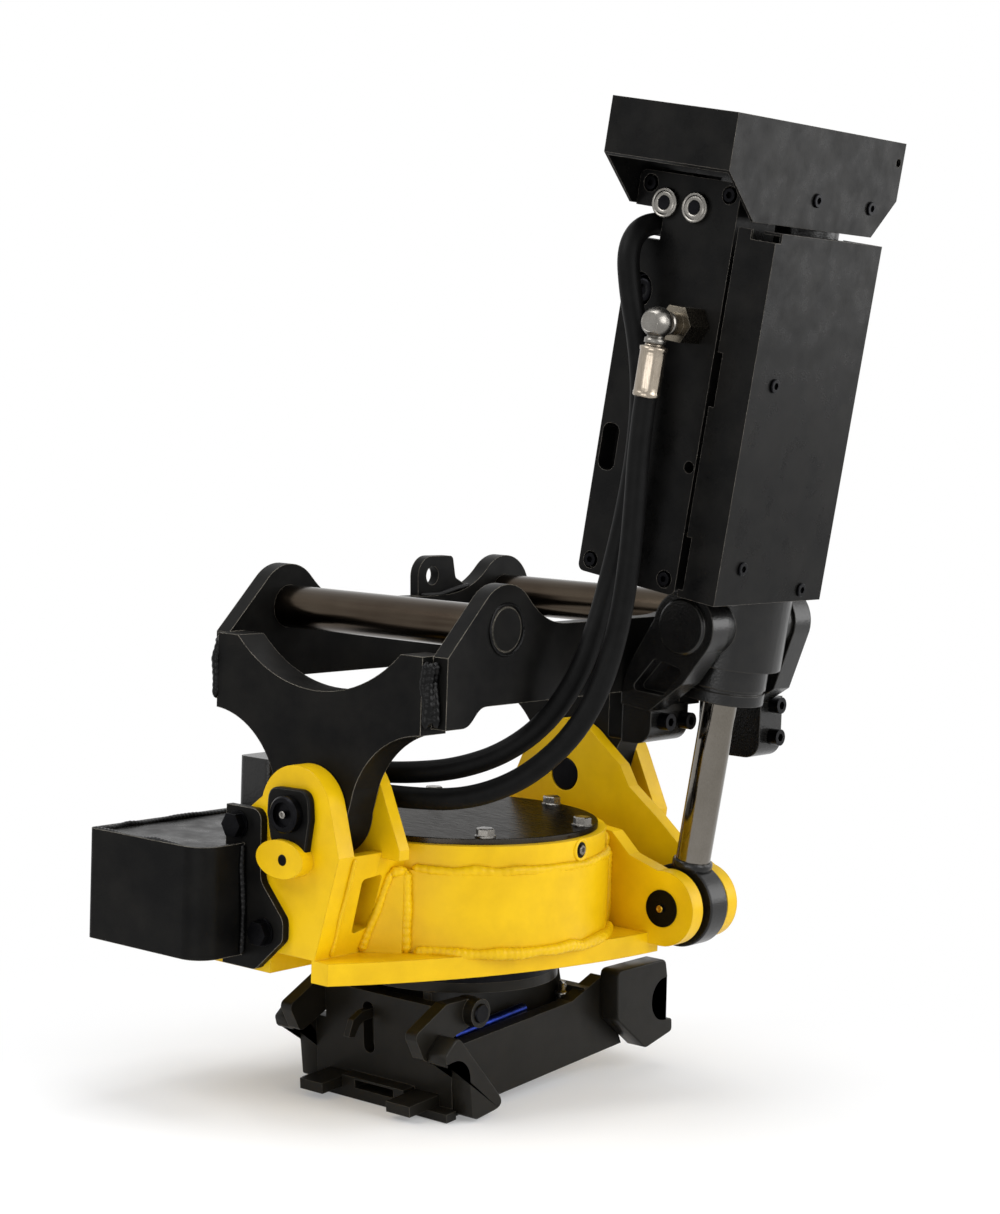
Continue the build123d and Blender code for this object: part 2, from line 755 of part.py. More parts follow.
def guard_plan(inset, back=0):
    """The guard seen from above, its outer walls moved in by inset."""
    with BuildSketch(mode=Mode.PRIVATE) as plan:
        with BuildLine():
            FilletPolyline(
                (guard_x0 + inset, guard_y1 + back),
                (guard_x0 + inset, guard_y0 + inset),
                (guard_x1 - inset, guard_y0 + inset),
                (guard_x1 - inset, flange_y + back),
                radius=(10, guard_corner - inset),
            )
            Polyline(
                (guard_x1 - inset, flange_y + back),
                (guard_strip_x + back, flange_y + back),
                (guard_strip_x + back, guard_y1 + back),
                (guard_x0 + inset, guard_y1 + back),
            )
        make_face()
    return plan.sketch


with BuildPart() as motor_guard:
    with BuildSketch(facing_z(machine, guard_z0)):
        add(guard_plan(0))
        add(guard_plan(guard_wall, 1), mode=Mode.SUBTRACT)
    extrude(amount=guard_z1 - guard_z0)
    for low in (guard_z0 + guard_inset, guard_z1 - guard_inset - guard_wall):
        with BuildSketch(facing_z(machine, low)):
            add(guard_plan(guard_wall - 1))
        extrude(amount=guard_wall)
    # bolted flange
    with BuildSketch(facing_y(machine, flange_y)):
        with BuildLine():
            FilletPolyline(
                (-118, -256), (-52, -256), (-50, -352), (-6, -400), (-6, -428), (-56, -474), (-118, -474),
                radius=(16, 24, 20, 14, 14))
            Line((-118, -474), (-118, -256))
        make_face()
        for x, z in guard_bolt_spots:
            with Locations((x, z)):
                Circle(10, mode=Mode.SUBTRACT)
    extrude(amount=-(ear_front_y - flange_y))
finish(motor_guard, "motor_guard")

with BuildPart() as guard_bolts:
    for x, z in guard_bolt_spots:
        add(hex_bolt(machine, "y", flange_y, 20, ear_front_y - flange_y, dx=x, dz=z, sign=-1))
finish(guard_bolts, "guard_bolts")

# Rotor hub, bearing rings and seals
hub_low = base_bottom_z - hub_gap - hub_flange_t
with BuildPart() as rotor_hub:
    with BuildSketch(facing_z(rotor, hub_low)):
        Circle(hub_flange_r)
    extrude(amount=hub_flange_t)
    with BuildSketch(facing_z(rotor, hub_low + hub_flange_t)):
        Circle(journal_r)
    extrude(amount=wheel_low - hub_low - hub_flange_t)
    with BuildSketch(facing_z(rotor, wheel_low)):
        Circle(neck_r)
    extrude(amount=drum_top_z - 6 - wheel_low)
    add(round_bar(rotor, "z", hub_low, drum_top_z, 70), mode=Mode.SUBTRACT)
finish(rotor_hub, "rotor_hub")

thrust_r = 149
with BuildPart() as thrust_ring:
    with BuildSketch(facing_z(rotor, drum_low_z)):
        Circle(thrust_r)
        Circle(journal_r + 1, mode=Mode.SUBTRACT)
    extrude(amount=wheel_low - seat_gap - drum_low_z)
finish(thrust_ring, "thrust_ring")

with BuildPart() as lower_bearing:
    with BuildSketch(facing_z(rotor, base_bottom_z + 4)):
        Circle(journal_r + bearing_wall)
        Circle(journal_r + running_fit, mode=Mode.SUBTRACT)
    extrude(amount=base_t - 4)
finish(lower_bearing, "lower_bearing")

with BuildPart() as upper_bearing:
    with BuildSketch(facing_z(rotor, drum_top_z - 26)):
        Circle(drum_bore_r)
        Circle(neck_r + running_fit, mode=Mode.SUBTRACT)
    extrude(amount=26)
finish(upper_bearing, "upper_bearing")

with BuildPart() as rotor_seal:
    with BuildSketch(facing_z(rotor, base_bottom_z)):
        Circle(journal_r + bearing_wall)
        Circle(journal_r + running_fit, mode=Mode.SUBTRACT)
    extrude(amount=4)
finish(rotor_seal, "rotor_seal")

with BuildPart() as swivel_core:
    add(round_bar(rotor, "z", hub_low - 30, drum_top_z, 70 - 2 * running_fit))
    for k in range(5):
        with BuildSketch(facing_z(rotor, -470 + 30 * k)):
            Circle(40)
            Circle(29, mode=Mode.SUBTRACT)
        extrude(amount=8, mode=Mode.SUBTRACT)
finish(swivel_core, "swivel_core")

# Rod pin: heads in the clevis ears, a thinner shank through the rod eye
with BuildPart() as rod_pin:
    for y0, y1, d in (
        (clevis_front_y - 5, clevis_front_y - 2, 12),
        (clevis_front_y - 2, clevis_front_y + clevis_t, rod_pin_head_d),
        (clevis_front_y + clevis_t, rear_ear_y, rod_pin_shank_d),
        (rear_ear_y, rear_ear_y + clevis_t, rod_pin_head_d),
    ):
        add(round_bar(machine, "y", y0, y1, d, x=rod_pin_x, z=rod_pin_z))
finish(rod_pin, "rod_pin")

# Tilt cylinder: cast trunnion section, gland, tube, end cap, piston and rod
gland_low = -108
casting_low = -55
spigot = 20
tube_top = 540
head_z = tube_top + 30
with BuildPart() as cylinder_barrel:
    with BuildSketch(facing_z(cyl, casting_low)):
        Circle(barrel_r)
    extrude(amount=box_z0 - casting_low)
    with BuildSketch(facing_z(cyl, box_z0)):
        Circle(tube_r)
    extrude(amount=tube_top - box_z0)
    with BuildSketch(facing_y(cyl, -flank_y + seat_gap)):
        Circle(46)
    extrude(amount=-(2 * flank_y - 2 * seat_gap))
    add(round_bar(cyl, "z", casting_low, tube_top, bore_d), mode=Mode.SUBTRACT)
    for side in (-1, 1):
        low, high = sorted((side * (flank_y - 24.5), side * (flank_y + 1)))
        add(round_bar(cyl, "y", low, high, trunnion_pin_d + 2 * running_fit), mode=Mode.SUBTRACT)
    # port bosses towards the valve block
    for z in (90, 470):
        add(round_bar(cyl, "y", -96, -tube_r + 4, 36, z=z))
finish(cylinder_barrel, "cylinder_barrel")

with BuildPart() as cylinder_head:
    add(round_bar(cyl, "z", tube_top, head_z, 2 * tube_r - 16))
    add(round_bar(cyl, "z", tube_top - 22, tube_top, bore_d))
    add(round_bar(cyl, "z", head_z, hood_z1 - sheet, 60))
finish(cylinder_head, "cylinder_head")

with BuildPart() as cylinder_gland:
    with BuildSketch(facing_z(cyl, gland_low)):
        Circle(gland_r)
    extrude(amount=casting_low - gland_low)
    with BuildSketch(facing_z(cyl, casting_low)):
        Circle(bore_d / 2)
    extrude(amount=spigot)
    with BuildSketch(facing_z(cyl, gland_low + 16)):
        Circle(gland_r + 1)
        Circle(gland_r - 3, mode=Mode.SUBTRACT)
    extrude(amount=5, mode=Mode.SUBTRACT)
    add(round_bar(cyl, "z", gland_low, casting_low + spigot, rod_d + 2 * running_fit), mode=Mode.SUBTRACT)
    add(round_bar(cyl, "z", gland_low, gland_low + 8, rod_d + 14), mode=Mode.SUBTRACT)
finish(cylinder_gland, "cylinder_gland")

with BuildPart() as rod_wiper:
    with BuildSketch(facing_z(cyl, gland_low)):
        Circle(rod_d / 2 + 7)
        Circle(rod_d / 2 + running_fit, mode=Mode.SUBTRACT)
    extrude(amount=8)
finish(rod_wiper, "rod_wiper")

piston_z = 176
neck_low = -cyl_len + eye_r - 8
neck_high = -cyl_len + eye_r + 6
with BuildPart() as piston_rod:
    add(round_bar(cyl, "z", neck_high, piston_z, rod_d))
finish(piston_rod, "piston_rod")

with BuildPart() as piston:
    add(round_bar(cyl, "z", piston_z, piston_z + piston_t, bore_d - 2 * running_fit))
finish(piston, "piston")

with BuildPart() as rod_eye:
    with BuildSketch(Plane(origin=at(cyl, 0, -eye_t / 2, -cyl_len), x_dir=cyl.x_dir, z_dir=cyl.y_dir)):
        Circle(eye_r)
    extrude(amount=eye_t)
    add(round_bar(cyl, "z", neck_low, neck_high, rod_d + 8))
    add(round_bar(cyl, "y", -eye_t / 2, eye_t / 2, eye_bore_d, z=-cyl_len), mode=Mode.SUBTRACT)
finish(rod_eye, "rod_eye")

# Valve plate with its window, hose slots, plugs and adapter
plate_screws = [(-121, 70), (6, 71), (-121, 587), (9, 587)]
plate_screw_d = 12
counterbore = 10
plug_spots = [(-90, 564), (-40, 564)]
elbow_x = -14
elbow_z = 412
elbow_out = 80
port_x = -112
port_z = 535
hose_d = 30
hex_af = 46
hex_t = 44
valve_low = 52
valve_top = 604
with BuildPart() as valve_plate:
    with BuildSketch(facing_y(cyl, valve_y)):
        with BuildLine():
            FilletPolyline(
                (valve_x0, valve_low), (valve_x1, valve_low), (valve_x1, valve_top), (valve_x0, valve_top),
                radius=10, close=True)
        make_face()
        with Locations((-121, 228)):
            RectangleRounded(28, 65, 12, mode=Mode.SUBTRACT)
        with Locations((16, 226)):
            Circle(8, mode=Mode.SUBTRACT)
        with Locations((valve_x0 + 12, port_z)):
            Rectangle(2 * (port_x - valve_x0) + 16, hose_d + 12, mode=Mode.SUBTRACT)
        with Locations((-116, 444)):
            Circle(25, mode=Mode.SUBTRACT)
        for x, z in plate_screws:
            with Locations((x, z)):
                Circle(plate_screw_d / 2 + 0.5, mode=Mode.SUBTRACT)
    extrude(amount=-valve_t)
    for x, z in plate_screws:
        seat = round_bar(cyl, "y", valve_y, valve_y + counterbore, 2 * plate_screw_d, x=x, z=z)
        add(seat, mode=Mode.SUBTRACT)
finish(valve_plate, "valve_plate")

with BuildPart() as plate_screw_set:
    for x, z in plate_screws:
        add(socket_screw(
            cyl, "y", valve_y + counterbore, plate_screw_d, valve_t + 14 - counterbore, dx=x, dz=z, sign=-1))
finish(plate_screw_set, "valve_plate_screws")

with BuildPart() as port_plugs:
    for x, z in plug_spots:
        with BuildSketch(facing_y(cyl, valve_y)):
            with Locations((x, z)):
                Circle(20.5)
        extrude(amount=7)
        with BuildSketch(facing_y(cyl, valve_y - 7)):
            with Locations((x, z)):
                Circle(17)
                RegularPolygon(8, 6, mode=Mode.SUBTRACT)
        extrude(amount=4)
finish(port_plugs, "port_plugs")

valve_block_y = valve_y + valve_t
with BuildPart() as valve_block:
    with BuildSketch(facing_y(cyl, valve_block_y)):
        with Locations((-4, 498)):
            Rectangle(50, 206)
        with Locations((port_x + 8, port_z + 28)):
            Rectangle(52, 90)
        with Locations((-50, 592)):
            Rectangle(150, 20)
    extrude(amount=-(-96 - valve_block_y))
    with BuildSketch(facing_y(cyl, valve_block_y)):
        with Locations((-4, 90)):
            Rectangle(50, 60)
        with Locations((-60, 75)):
            Rectangle(140, 30)
    extrude(amount=-(-96 - valve_block_y))
    for x, z in plate_screws:
        hole = round_bar(cyl, "y", valve_block_y, valve_block_y + 14, plate_screw_d, x=x, z=z)
        add(hole, mode=Mode.SUBTRACT)
finish(valve_block, "valve_block")

with BuildPart() as hose_adapter:
    with BuildSketch(facing_y(cyl, valve_y)):
        with Locations((elbow_x, elbow_z)):
            RegularPolygon(hex_af / 2, 6, major_radius=False)
    extrude(amount=hex_t)
    add(round_bar(cyl, "y", valve_y - elbow_out + 22, valve_y - hex_t, 30, x=elbow_x, z=elbow_z))
finish(hose_adapter, "hose_adapter")

ferrule_top = elbow_z - 30
ferrule_low = elbow_z - 88
with BuildPart() as hose_elbow:
    add(round_bar(cyl, "y", valve_y - elbow_out - 20, valve_y - elbow_out + 22, 40, x=elbow_x, z=elbow_z))
    rims = hose_elbow.edges().filter_by(GeomType.CIRCLE)
    chamfer(rims, 6)
    add(round_bar(cyl, "z", ferrule_top, elbow_z - 8, 22, x=elbow_x, y=valve_y - elbow_out))
finish(hose_elbow, "hose_elbow")

with BuildPart() as hose_ferrule:
    with BuildSketch(facing_z(cyl, ferrule_low)):
        with Locations((elbow_x, valve_y - elbow_out)):
            RegularPolygon(18, 8, major_radius=False)
    extrude(amount=ferrule_top - ferrule_low)
finish(hose_ferrule, "hose_ferrule")

# Hoses from the cylinder to the rotor housing, each one tube along a route chosen by hand
inlet_x = -140
inlet_t = 62


def hose(route, name):
    """A tube along straight runs joined by arcs as large as the runs allow."""
    points = [Vector(p) for p in route]
    radii = []
    for before, here, after in zip(points, points[1:], points[2:]):
        turn = math.radians((here - before).get_angle(after - here))
        run = min((here - before).length, (after - here).length)
        radii.append(0.45 * run / math.tan(turn / 2))
    print(name, "radii", [round(r) for r in radii])
    with BuildPart() as tube:
        with BuildLine() as path:
            FilletPolyline(*points, radius=radii)
        with BuildSketch(Plane(origin=path.line @ 0, z_dir=path.line % 0)):
            Circle(hose_d / 2)
        sweep(path=path.line)
    length = sum(edge.length for edge in path.edges())
    section = math.pi * hose_d**2 / 4
    print(name, "length", round(length), "by volume", round(tube.part.volume / section))
    finish(tube, name)


hose(
    [
        at(cyl, elbow_x, valve_y - elbow_out, ferrule_low), at(cyl, elbow_x, valve_y - elbow_out, 262),
        at(cyl, 0, -276, 150), at(cyl, 5, -276, 60), (318, 99, -12), (307, 80, -82), (284, 54, -142),
        (240, 26, -192), (193, 2, -220), (144, -17, -234), (84, -30, -238), (20, -36, -240), (-40, -36, -248),
        (-94, -32, -258), (inlet_x, -32, -258),
    ],
    "hose_front",
)
hose(
    [
        at(cyl, port_x, valve_y + valve_t, port_z), at(cyl, port_x, -206, port_z), at(cyl, -110, -240, 500),
        at(cyl, -94, -238, 440), at(cyl, -74, -232, 385), at(cyl, -57, -228, 320), at(cyl, -50, -226, 240),
        at(cyl, -51, -226, 155), at(cyl, -57, -228, 70), (264, 128, 0), (256, 100, -66), (234, 66, -126),
        (190, 34, -170), (130, 8, -196), (62, -10, -208), (-10, -18, -214), (-82, -8, -224), (inlet_x, -8, -224),
    ],
    "hose_rear",
)

with BuildPart() as hose_inlets:
    with BuildSketch(facing_z(machine, worm_z + casing_r - 14)):
        with Locations((inlet_x - 18 - inlet_t / 2, -14)):
            RectangleRounded(inlet_t, 92, 10)
    extrude(amount=-212 - worm_z - casing_r + 14)
    for y, z in ((-32, -258), (-8, -224)):
        add(round_bar(machine, "x", inlet_x - 20, inlet_x, 36, y=y, z=z))
    add(round_bar(machine, "y", -80, 60, 2 * casing_r, x=worm_x, z=worm_z), mode=Mode.SUBTRACT)
    add(rotor_housing.part, mode=Mode.SUBTRACT)
finish(hose_inlets, "hose_inlets")

# Cover box of folded sheet round the right side of the cylinder
box_y0 = -200
box_x0 = 35
notch = (100, 348)
box_screws = [(-147, 351), (-149, 104), (4, 70)]
with BuildPart() as cover_box:
    with BuildSketch(facing_z(cyl, box_z0)):
        with BuildLine():
            Polyline(
                (box_x0, box_y0), (box_x1, box_y0), (box_x1, box_y1), (box_x0, box_y1),
                (box_x0, box_y1 - sheet), (box_x1 - sheet, box_y1 - sheet),
                (box_x1 - sheet, box_y0 + sheet), (box_x0, box_y0 + sheet),
                close=True)
        make_face()
    extrude(amount=box_z1 - box_z0)
    # bottom sheet that rests on the casting, top flange
    with BuildSketch(facing_z(cyl, box_z0)):
        with BuildLine():
            Polyline(
                (10, box_y1), (box_x1, box_y1), (box_x1, box_y0), (box_x0, box_y0), (box_x0, -80), (10, -80),
                close=True)
        make_face()
        Circle(tube_r + 1, mode=Mode.SUBTRACT)
    extrude(amount=sheet)
    with BuildSketch(facing_z(cyl, box_z1 - sheet)):
        with BuildLine():
            Polyline((box_x1 - 30, box_y1 - 22), (box_x1, box_y1 - 22), (box_x1, box_y0 + 14),
                     (box_x1 - 30, box_y0 + 14), close=True)
        make_face()
    extrude(amount=sheet)
    # corner relief and the two slots of the front flange
    with BuildSketch(facing_x(cyl, box_x1 - 40)):
        with Locations((box_y0 + 4, box_z1 - 6)):
            Rectangle(18, 14)
    extrude(amount=41, mode=Mode.SUBTRACT)
    for z in notch:
        with BuildSketch(facing_y(cyl, box_y0 - 1)):
            with Locations((box_x0, z)):
                Rectangle(16, 72)
        extrude(amount=-(sheet + 2), mode=Mode.SUBTRACT)
    for y, z in box_screws:
        add(round_bar(cyl, "x", box_x1 - sheet, box_x1, 12, y=y, z=z), mode=Mode.SUBTRACT)
finish(cover_box, "cover_box")

# Hood over the top of the cylinder and the valve plate
cut = hood_chamfer
hood_screws = [(-63, 597), (72, 597)]
hood_hole = (124, 664)
with BuildPart() as hood:
    with BuildSketch(facing_x(cyl, hood_x0)):
        with BuildLine():
            Polyline(
                (hood_y0, hood_z1), (hood_y0, hood_z0 + cut + 2), (-203, hood_z0), (hood_y1 - 50, hood_z0),
                (hood_y1, hood_z0 + 54), (hood_y1, hood_z1), close=True)
        make_face()
    extrude(amount=hood_x1 - hood_x0)
    with BuildSketch(facing_x(cyl, hood_x0 + sheet)):
        with BuildLine():
            Polyline(
                (hood_y0 + sheet, hood_z1 - sheet), (hood_y0 + sheet, hood_z0 - 10),
                (hood_y1 - sheet, hood_z0 - 10), (hood_y1 - sheet, hood_z1 - sheet),
                close=True)
        make_face()
    extrude(amount=hood_x1 - hood_x0 - 2 * sheet, mode=Mode.SUBTRACT)
    for y, z in hood_screws + [hood_hole]:
        add(round_bar(cyl, "x", hood_x1 - sheet, hood_x1, 12, y=y, z=z), mode=Mode.SUBTRACT)
finish(hood, "hood")


def button_screw(face, y, z):
    """A low button head screw with a hexagon in it, through a side sheet of the cover."""
    with BuildPart(mode=Mode.PRIVATE) as screw:
        add(round_bar(cyl, "x", face - sheet - 8, face, 12, y=y, z=z))
        with BuildSketch(facing_x(cyl, face)):
            with Locations((y, z)):
                Circle(9.5)
        extrude(amount=3.5)
        chamfer(screw.edges().filter_by(GeomType.CIRCLE).group_by(Axis.X)[-1], 1)
        with BuildSketch(facing_x(cyl, face)):
            with Locations((y, z)):
                RegularPolygon(5, 6)
        extrude(amount=3.5, mode=Mode.SUBTRACT)
    return screw.part


with BuildPart() as hood_screw_set:
    for y, z in hood_screws:
        add(button_screw(hood_x1, y, z))
    for y, z in box_screws:
        add(button_screw(box_x1, y, z))
finish(hood_screw_set, "cover_screws")

# Quick hitch: beams, front plate, core, hooks
hub_face = hub_low
hitch_top_t = 14
swivel_hole_r = 40
rise = math.tan(pitch)
lever_x = -25
lever_t = 10


def level_line(y):
    """Height in the pitched group of the level hub face."""
    return (hub_face - hitch_top_t - hitch_z) / math.cos(pitch) - y * rise


core_x = 78
with BuildPart() as hitch_frame:
    for side in (-1, 1):
        x0 = min(side * hitch_beam_x, side * (hitch_beam_x - beam_t))
        with BuildSketch(facing_x(hitch, x0)):
            with BuildLine():
                Polyline(
                    (43, beam_top), (300, beam_top - 1), (372, beam_top + 20), (414, beam_low),
                    (109, beam_low), close=True)
            make_face()
        extrude(amount=beam_t)
        x0 = min(side * core_x, side * (core_x - 16))
        with BuildSketch(facing_x(hitch, x0)):
            with BuildLine():
                Polyline(
                    (50, level_line(50)), (330, level_line(330)), (350, -20), (300, -36), (50, -10),
                    close=True)
            make_face()
        extrude(amount=16)
    # level ring under the rotor hub
    with BuildSketch(facing_z(rotor, hub_face - hitch_top_t)):
        Circle(hub_flange_r)
        Circle(swivel_hole_r, mode=Mode.SUBTRACT)
    extrude(amount=hitch_top_t)
    # front plate with the slot of the indicator lever
    with BuildSketch(facing_y(hitch, front_plate_y)):
        with BuildLine():
            Polyline(
                (-hitch_beam_x, bottom_z), (hitch_beam_x, bottom_z), (hitch_beam_x, 38), (107, 38), (107, 90),
                (-107, 90), (-107, 38), (-hitch_beam_x, 38), close=True)
        make_face()
        for side in (-1, 1):
            with Locations((side * (claw_in + claw_w / 2), bottom_z + claw_t / 2 + 0.5)):
                Rectangle(claw_w + 1, claw_t + 1, mode=Mode.SUBTRACT)
        with Locations((3, -40)):
            Rectangle(72, 12, mode=Mode.SUBTRACT)
        with Locations((lever_x, 38)):
            RectangleRounded(20, 74, 9, mode=Mode.SUBTRACT)
    extrude(amount=-front_plate_t)
    # cheeks that guide the lever behind the front plate
    with BuildSketch(facing_y(hitch, front_plate_y + front_plate_t)):
        for side in (-1, 1):
            with Locations((lever_x + side * (lever_t / 2 + running_fit + 4), 42)):
                Rectangle(8, 84)
    extrude(amount=-34)
    # bottom plate, the low wall on it with its opening, and the cross plate
    with BuildSketch(facing_z(hitch, bottom_z - bottom_t)):
        with Locations((0, 66)):
            Rectangle(2 * hitch_beam_x, 116)
        with Locations((0, 18)):
            Rectangle(2 * hitch_beam_x + 18, 20)
    extrude(amount=bottom_t)
    with BuildSketch(facing_y(hitch, 8)):
        with Locations((0, (bottom_z - 31) / 2)):
            Rectangle(2 * claw_in - 4, -31 - bottom_z)
        with Locations((3, -40)):
            Rectangle(72, 12, mode=Mode.SUBTRACT)
    extrude(amount=-(front_plate_y - 8))
    with BuildSketch(facing_y(hitch, 330)):
        with Locations((0, 10)):
            Rectangle(2 * (hitch_beam_x - 1), 74)
    extrude(amount=-16)
finish(hitch_frame, "hitch_frame")


with BuildPart() as front_hooks:
    for side in (-1, 1):
        x0 = min(side * hook_x, side * (hook_x - hook_t))
        with BuildSketch(facing_x(hitch, x0)):
            with BuildLine():
                r = tool_pin_d / 2 + seat_gap
                lip = (-r / 2, r * math.sqrt(3) / 2)
                Polyline((r, 0), (r + 3, -56), (45, -62), (108, -58), (17, 57), (10, 62), (-18, 43), lip)
                ThreePointArc(lip, (r / 2, r * math.sqrt(3) / 2), (r, 0))
            make_face()
        extrude(amount=hook_t)
finish(front_hooks, "front_hooks")

with BuildPart() as rear_hooks:
    for side in (-1, 1):
        x0 = min(side * hook_x, side * (hook_x - hook_t))
        with BuildSketch(facing_x(hitch, x0)):
            with BuildLine():
                r = tool_pin_d / 2 + seat_gap
                Polyline(
                    (tool_spacing, -r), (498, -r - 5), (498, -54), (431, -64), (364, -4), (366, 69),
                    (485, 60), (489, r), (tool_spacing, r))
                ThreePointArc((tool_spacing, r), (tool_spacing - r, 0), (tool_spacing, -r))
            make_face()
        extrude(amount=hook_t)
finish(rear_hooks, "rear_hooks")

with BuildPart() as hitch_brackets:
    for side in (-1, 1):
        x0 = min(side * hitch_beam_x, side * (hitch_beam_x - 20))
        with BuildSketch(facing_x(hitch, x0)):
            with BuildLine():
                FilletPolyline(
                    (25, 100), (-42, 72), (-22, 29), (43, 52), (96, 62), (96, 94), radius=9, close=True)
            make_face()
        extrude(amount=20)
        low, high = sorted((side * (hitch_beam_x - 18), side * (hitch_beam_x + 16)))
        add(round_bar(hitch, "x", low, high, 40, y=77, z=77))
finish(hitch_brackets, "hitch_brackets")

with BuildPart() as lock_cylinder:
    add(round_bar(hitch, "y", 196, 313, 52, z=-16))
    add(round_bar(hitch, "y", 313, 330, 30, z=-16))
    add(round_bar(hitch, "y", 190, 300, 22 + 2 * running_fit, z=-16), mode=Mode.SUBTRACT)
finish(lock_cylinder, "lock_cylinder")

with BuildPart() as locking_slide:
    with BuildSketch(facing_z(hitch, bottom_z + 0.2)):
        for side in (-1, 1):
            with Locations((side * (claw_in + claw_w / 2), 30)):
                Rectangle(claw_w, 120)
        with Locations((0, 108)):
            Rectangle(2 * (claw_in + claw_w), 40)
    extrude(amount=claw_t)
    add(round_bar(hitch, "y", 120, 196 + lock_travel - 20, 22, z=-16))
    with BuildSketch(facing_z(hitch, -36)):
        with Locations((0, 112)):
            Rectangle(30, 28)
    extrude(amount=32)
finish(locking_slide, "locking_slide")

with BuildPart() as lock_lever:
    with BuildSketch(facing_x(hitch, lever_x - lever_t / 2)):
        with BuildLine():
            Polyline(
                (83, 50), (83, 64), (15, 66), (-5, 58), (-15, 36), (-3, 33), (6, 46), (18, 52), close=True)
        make_face()
    extrude(amount=lever_t)
finish(lock_lever, "lock_lever")

os.makedirs("parts", exist_ok=True)
for name, part in made:
    export_step(part, "parts/" + name + ".step")
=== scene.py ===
import math

import bpy
import numpy as np
from mathutils import Matrix, Vector


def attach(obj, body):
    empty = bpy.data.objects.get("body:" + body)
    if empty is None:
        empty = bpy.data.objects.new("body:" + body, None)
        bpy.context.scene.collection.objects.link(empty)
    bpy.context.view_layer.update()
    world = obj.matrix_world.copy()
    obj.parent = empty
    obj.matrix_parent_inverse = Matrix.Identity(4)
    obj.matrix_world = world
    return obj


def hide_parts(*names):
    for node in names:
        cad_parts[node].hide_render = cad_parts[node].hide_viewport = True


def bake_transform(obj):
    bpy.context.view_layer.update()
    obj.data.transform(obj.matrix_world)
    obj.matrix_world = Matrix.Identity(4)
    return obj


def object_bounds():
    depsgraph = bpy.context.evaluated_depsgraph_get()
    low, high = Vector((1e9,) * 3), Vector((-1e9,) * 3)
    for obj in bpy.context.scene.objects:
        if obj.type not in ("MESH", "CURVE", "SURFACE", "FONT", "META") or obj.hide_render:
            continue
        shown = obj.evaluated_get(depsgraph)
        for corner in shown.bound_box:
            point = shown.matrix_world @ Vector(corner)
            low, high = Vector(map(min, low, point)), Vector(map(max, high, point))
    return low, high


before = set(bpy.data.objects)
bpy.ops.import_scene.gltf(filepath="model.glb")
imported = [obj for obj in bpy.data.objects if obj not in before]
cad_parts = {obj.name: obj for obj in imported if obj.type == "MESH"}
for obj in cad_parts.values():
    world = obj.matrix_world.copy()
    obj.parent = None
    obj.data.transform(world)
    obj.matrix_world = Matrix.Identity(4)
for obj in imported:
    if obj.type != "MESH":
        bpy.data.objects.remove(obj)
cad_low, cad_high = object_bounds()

MM = 0.001


# Colours and nodes
BEVEL_SAMPLES = 4
NOISE_LOW, NOISE_HIGH = 0.35, 0.65
EDGE_START, EDGE_FULL = 0.985, 0.86
CAST_EDGE_MM, CAST_EDGE_WEAR_AND_HIGHLIGHT = 3.0, 0.35
CLOTH_MM = 10.472
WAVES_A_UNIT = 10 / (2 * math.pi)
EVEN = (1, 1, 1)
COLOUR_A, COLOUR_B, COLOUR_OUT = 6, 7, 2


def to_linear(colour):
    """A hex colour as written for screens, turned to linear light with the sRGB curve."""
    values = [int(colour[i:i + 2], 16) / 255 for i in (1, 3, 5)]
    return tuple(v / 12.92 if v <= 0.04045 else ((v + 0.055) / 1.055) ** 2.4 for v in values) + (1.0,)


def node(tree, kind, settings=None, inputs=None):
    """Add one node, set its settings, and fill or link its inputs by name or number."""
    made = tree.nodes.new(kind)
    for key, value in (settings or {}).items():
        setattr(made, key, value)
    for key, value in (inputs or {}).items():
        socket = made.inputs[key]
        if isinstance(value, bpy.types.NodeSocket):
            tree.links.new(value, socket)
        else:
            socket.default_value = value
    return made


def new_material(name):
    """An empty node material with its output and a Principled shader."""
    material = bpy.data.materials.new(name)
    material.use_nodes = True
    tree = material.node_tree
    tree.nodes.clear()
    shader = node(tree, "ShaderNodeBsdfPrincipled")
    out = node(tree, "ShaderNodeOutputMaterial", inputs={"Surface": shader.outputs[0]})
    out.is_active_output = True
    return material, tree, shader


def object_place(tree):
    """Position on the object, which is the shared frame in metres."""
    return node(tree, "ShaderNodeTexCoord").outputs["Object"]


def spots(tree, place, size_mm, low, high, detail):
    """Noise whose features are about size_mm wide, spread between low and high."""
    noise = node(tree, "ShaderNodeTexNoise", inputs={
        "Vector": place, "Scale": 1000 / size_mm, "Detail": detail, "Roughness": 0.6})
    spread = node(tree, "ShaderNodeMapRange", inputs={
        "Value": noise.outputs["Fac"], "From Min": NOISE_LOW, "From Max": NOISE_HIGH,
        "To Min": low, "To Max": high})
    return spread.outputs[0]


def edge_wear_and_highlight_mask(tree, radius_mm):
    """How far the rounded normal leans from the flat one: 0 on a face, towards 1 on an edge."""
    rounded = node(tree, "ShaderNodeBevel", {"samples": BEVEL_SAMPLES}, {"Radius": radius_mm * MM})
    flat = node(tree, "ShaderNodeNewGeometry")
    dot = node(tree, "ShaderNodeVectorMath", {"operation": "DOT_PRODUCT"}, {
        0: rounded.outputs[0], 1: flat.outputs["Normal"]})
    edge = node(tree, "ShaderNodeMapRange", inputs={
        "Value": dot.outputs["Value"], "From Min": EDGE_START, "From Max": EDGE_FULL,
        "To Min": 0.0, "To Max": 1.0})
    return edge.outputs[0]


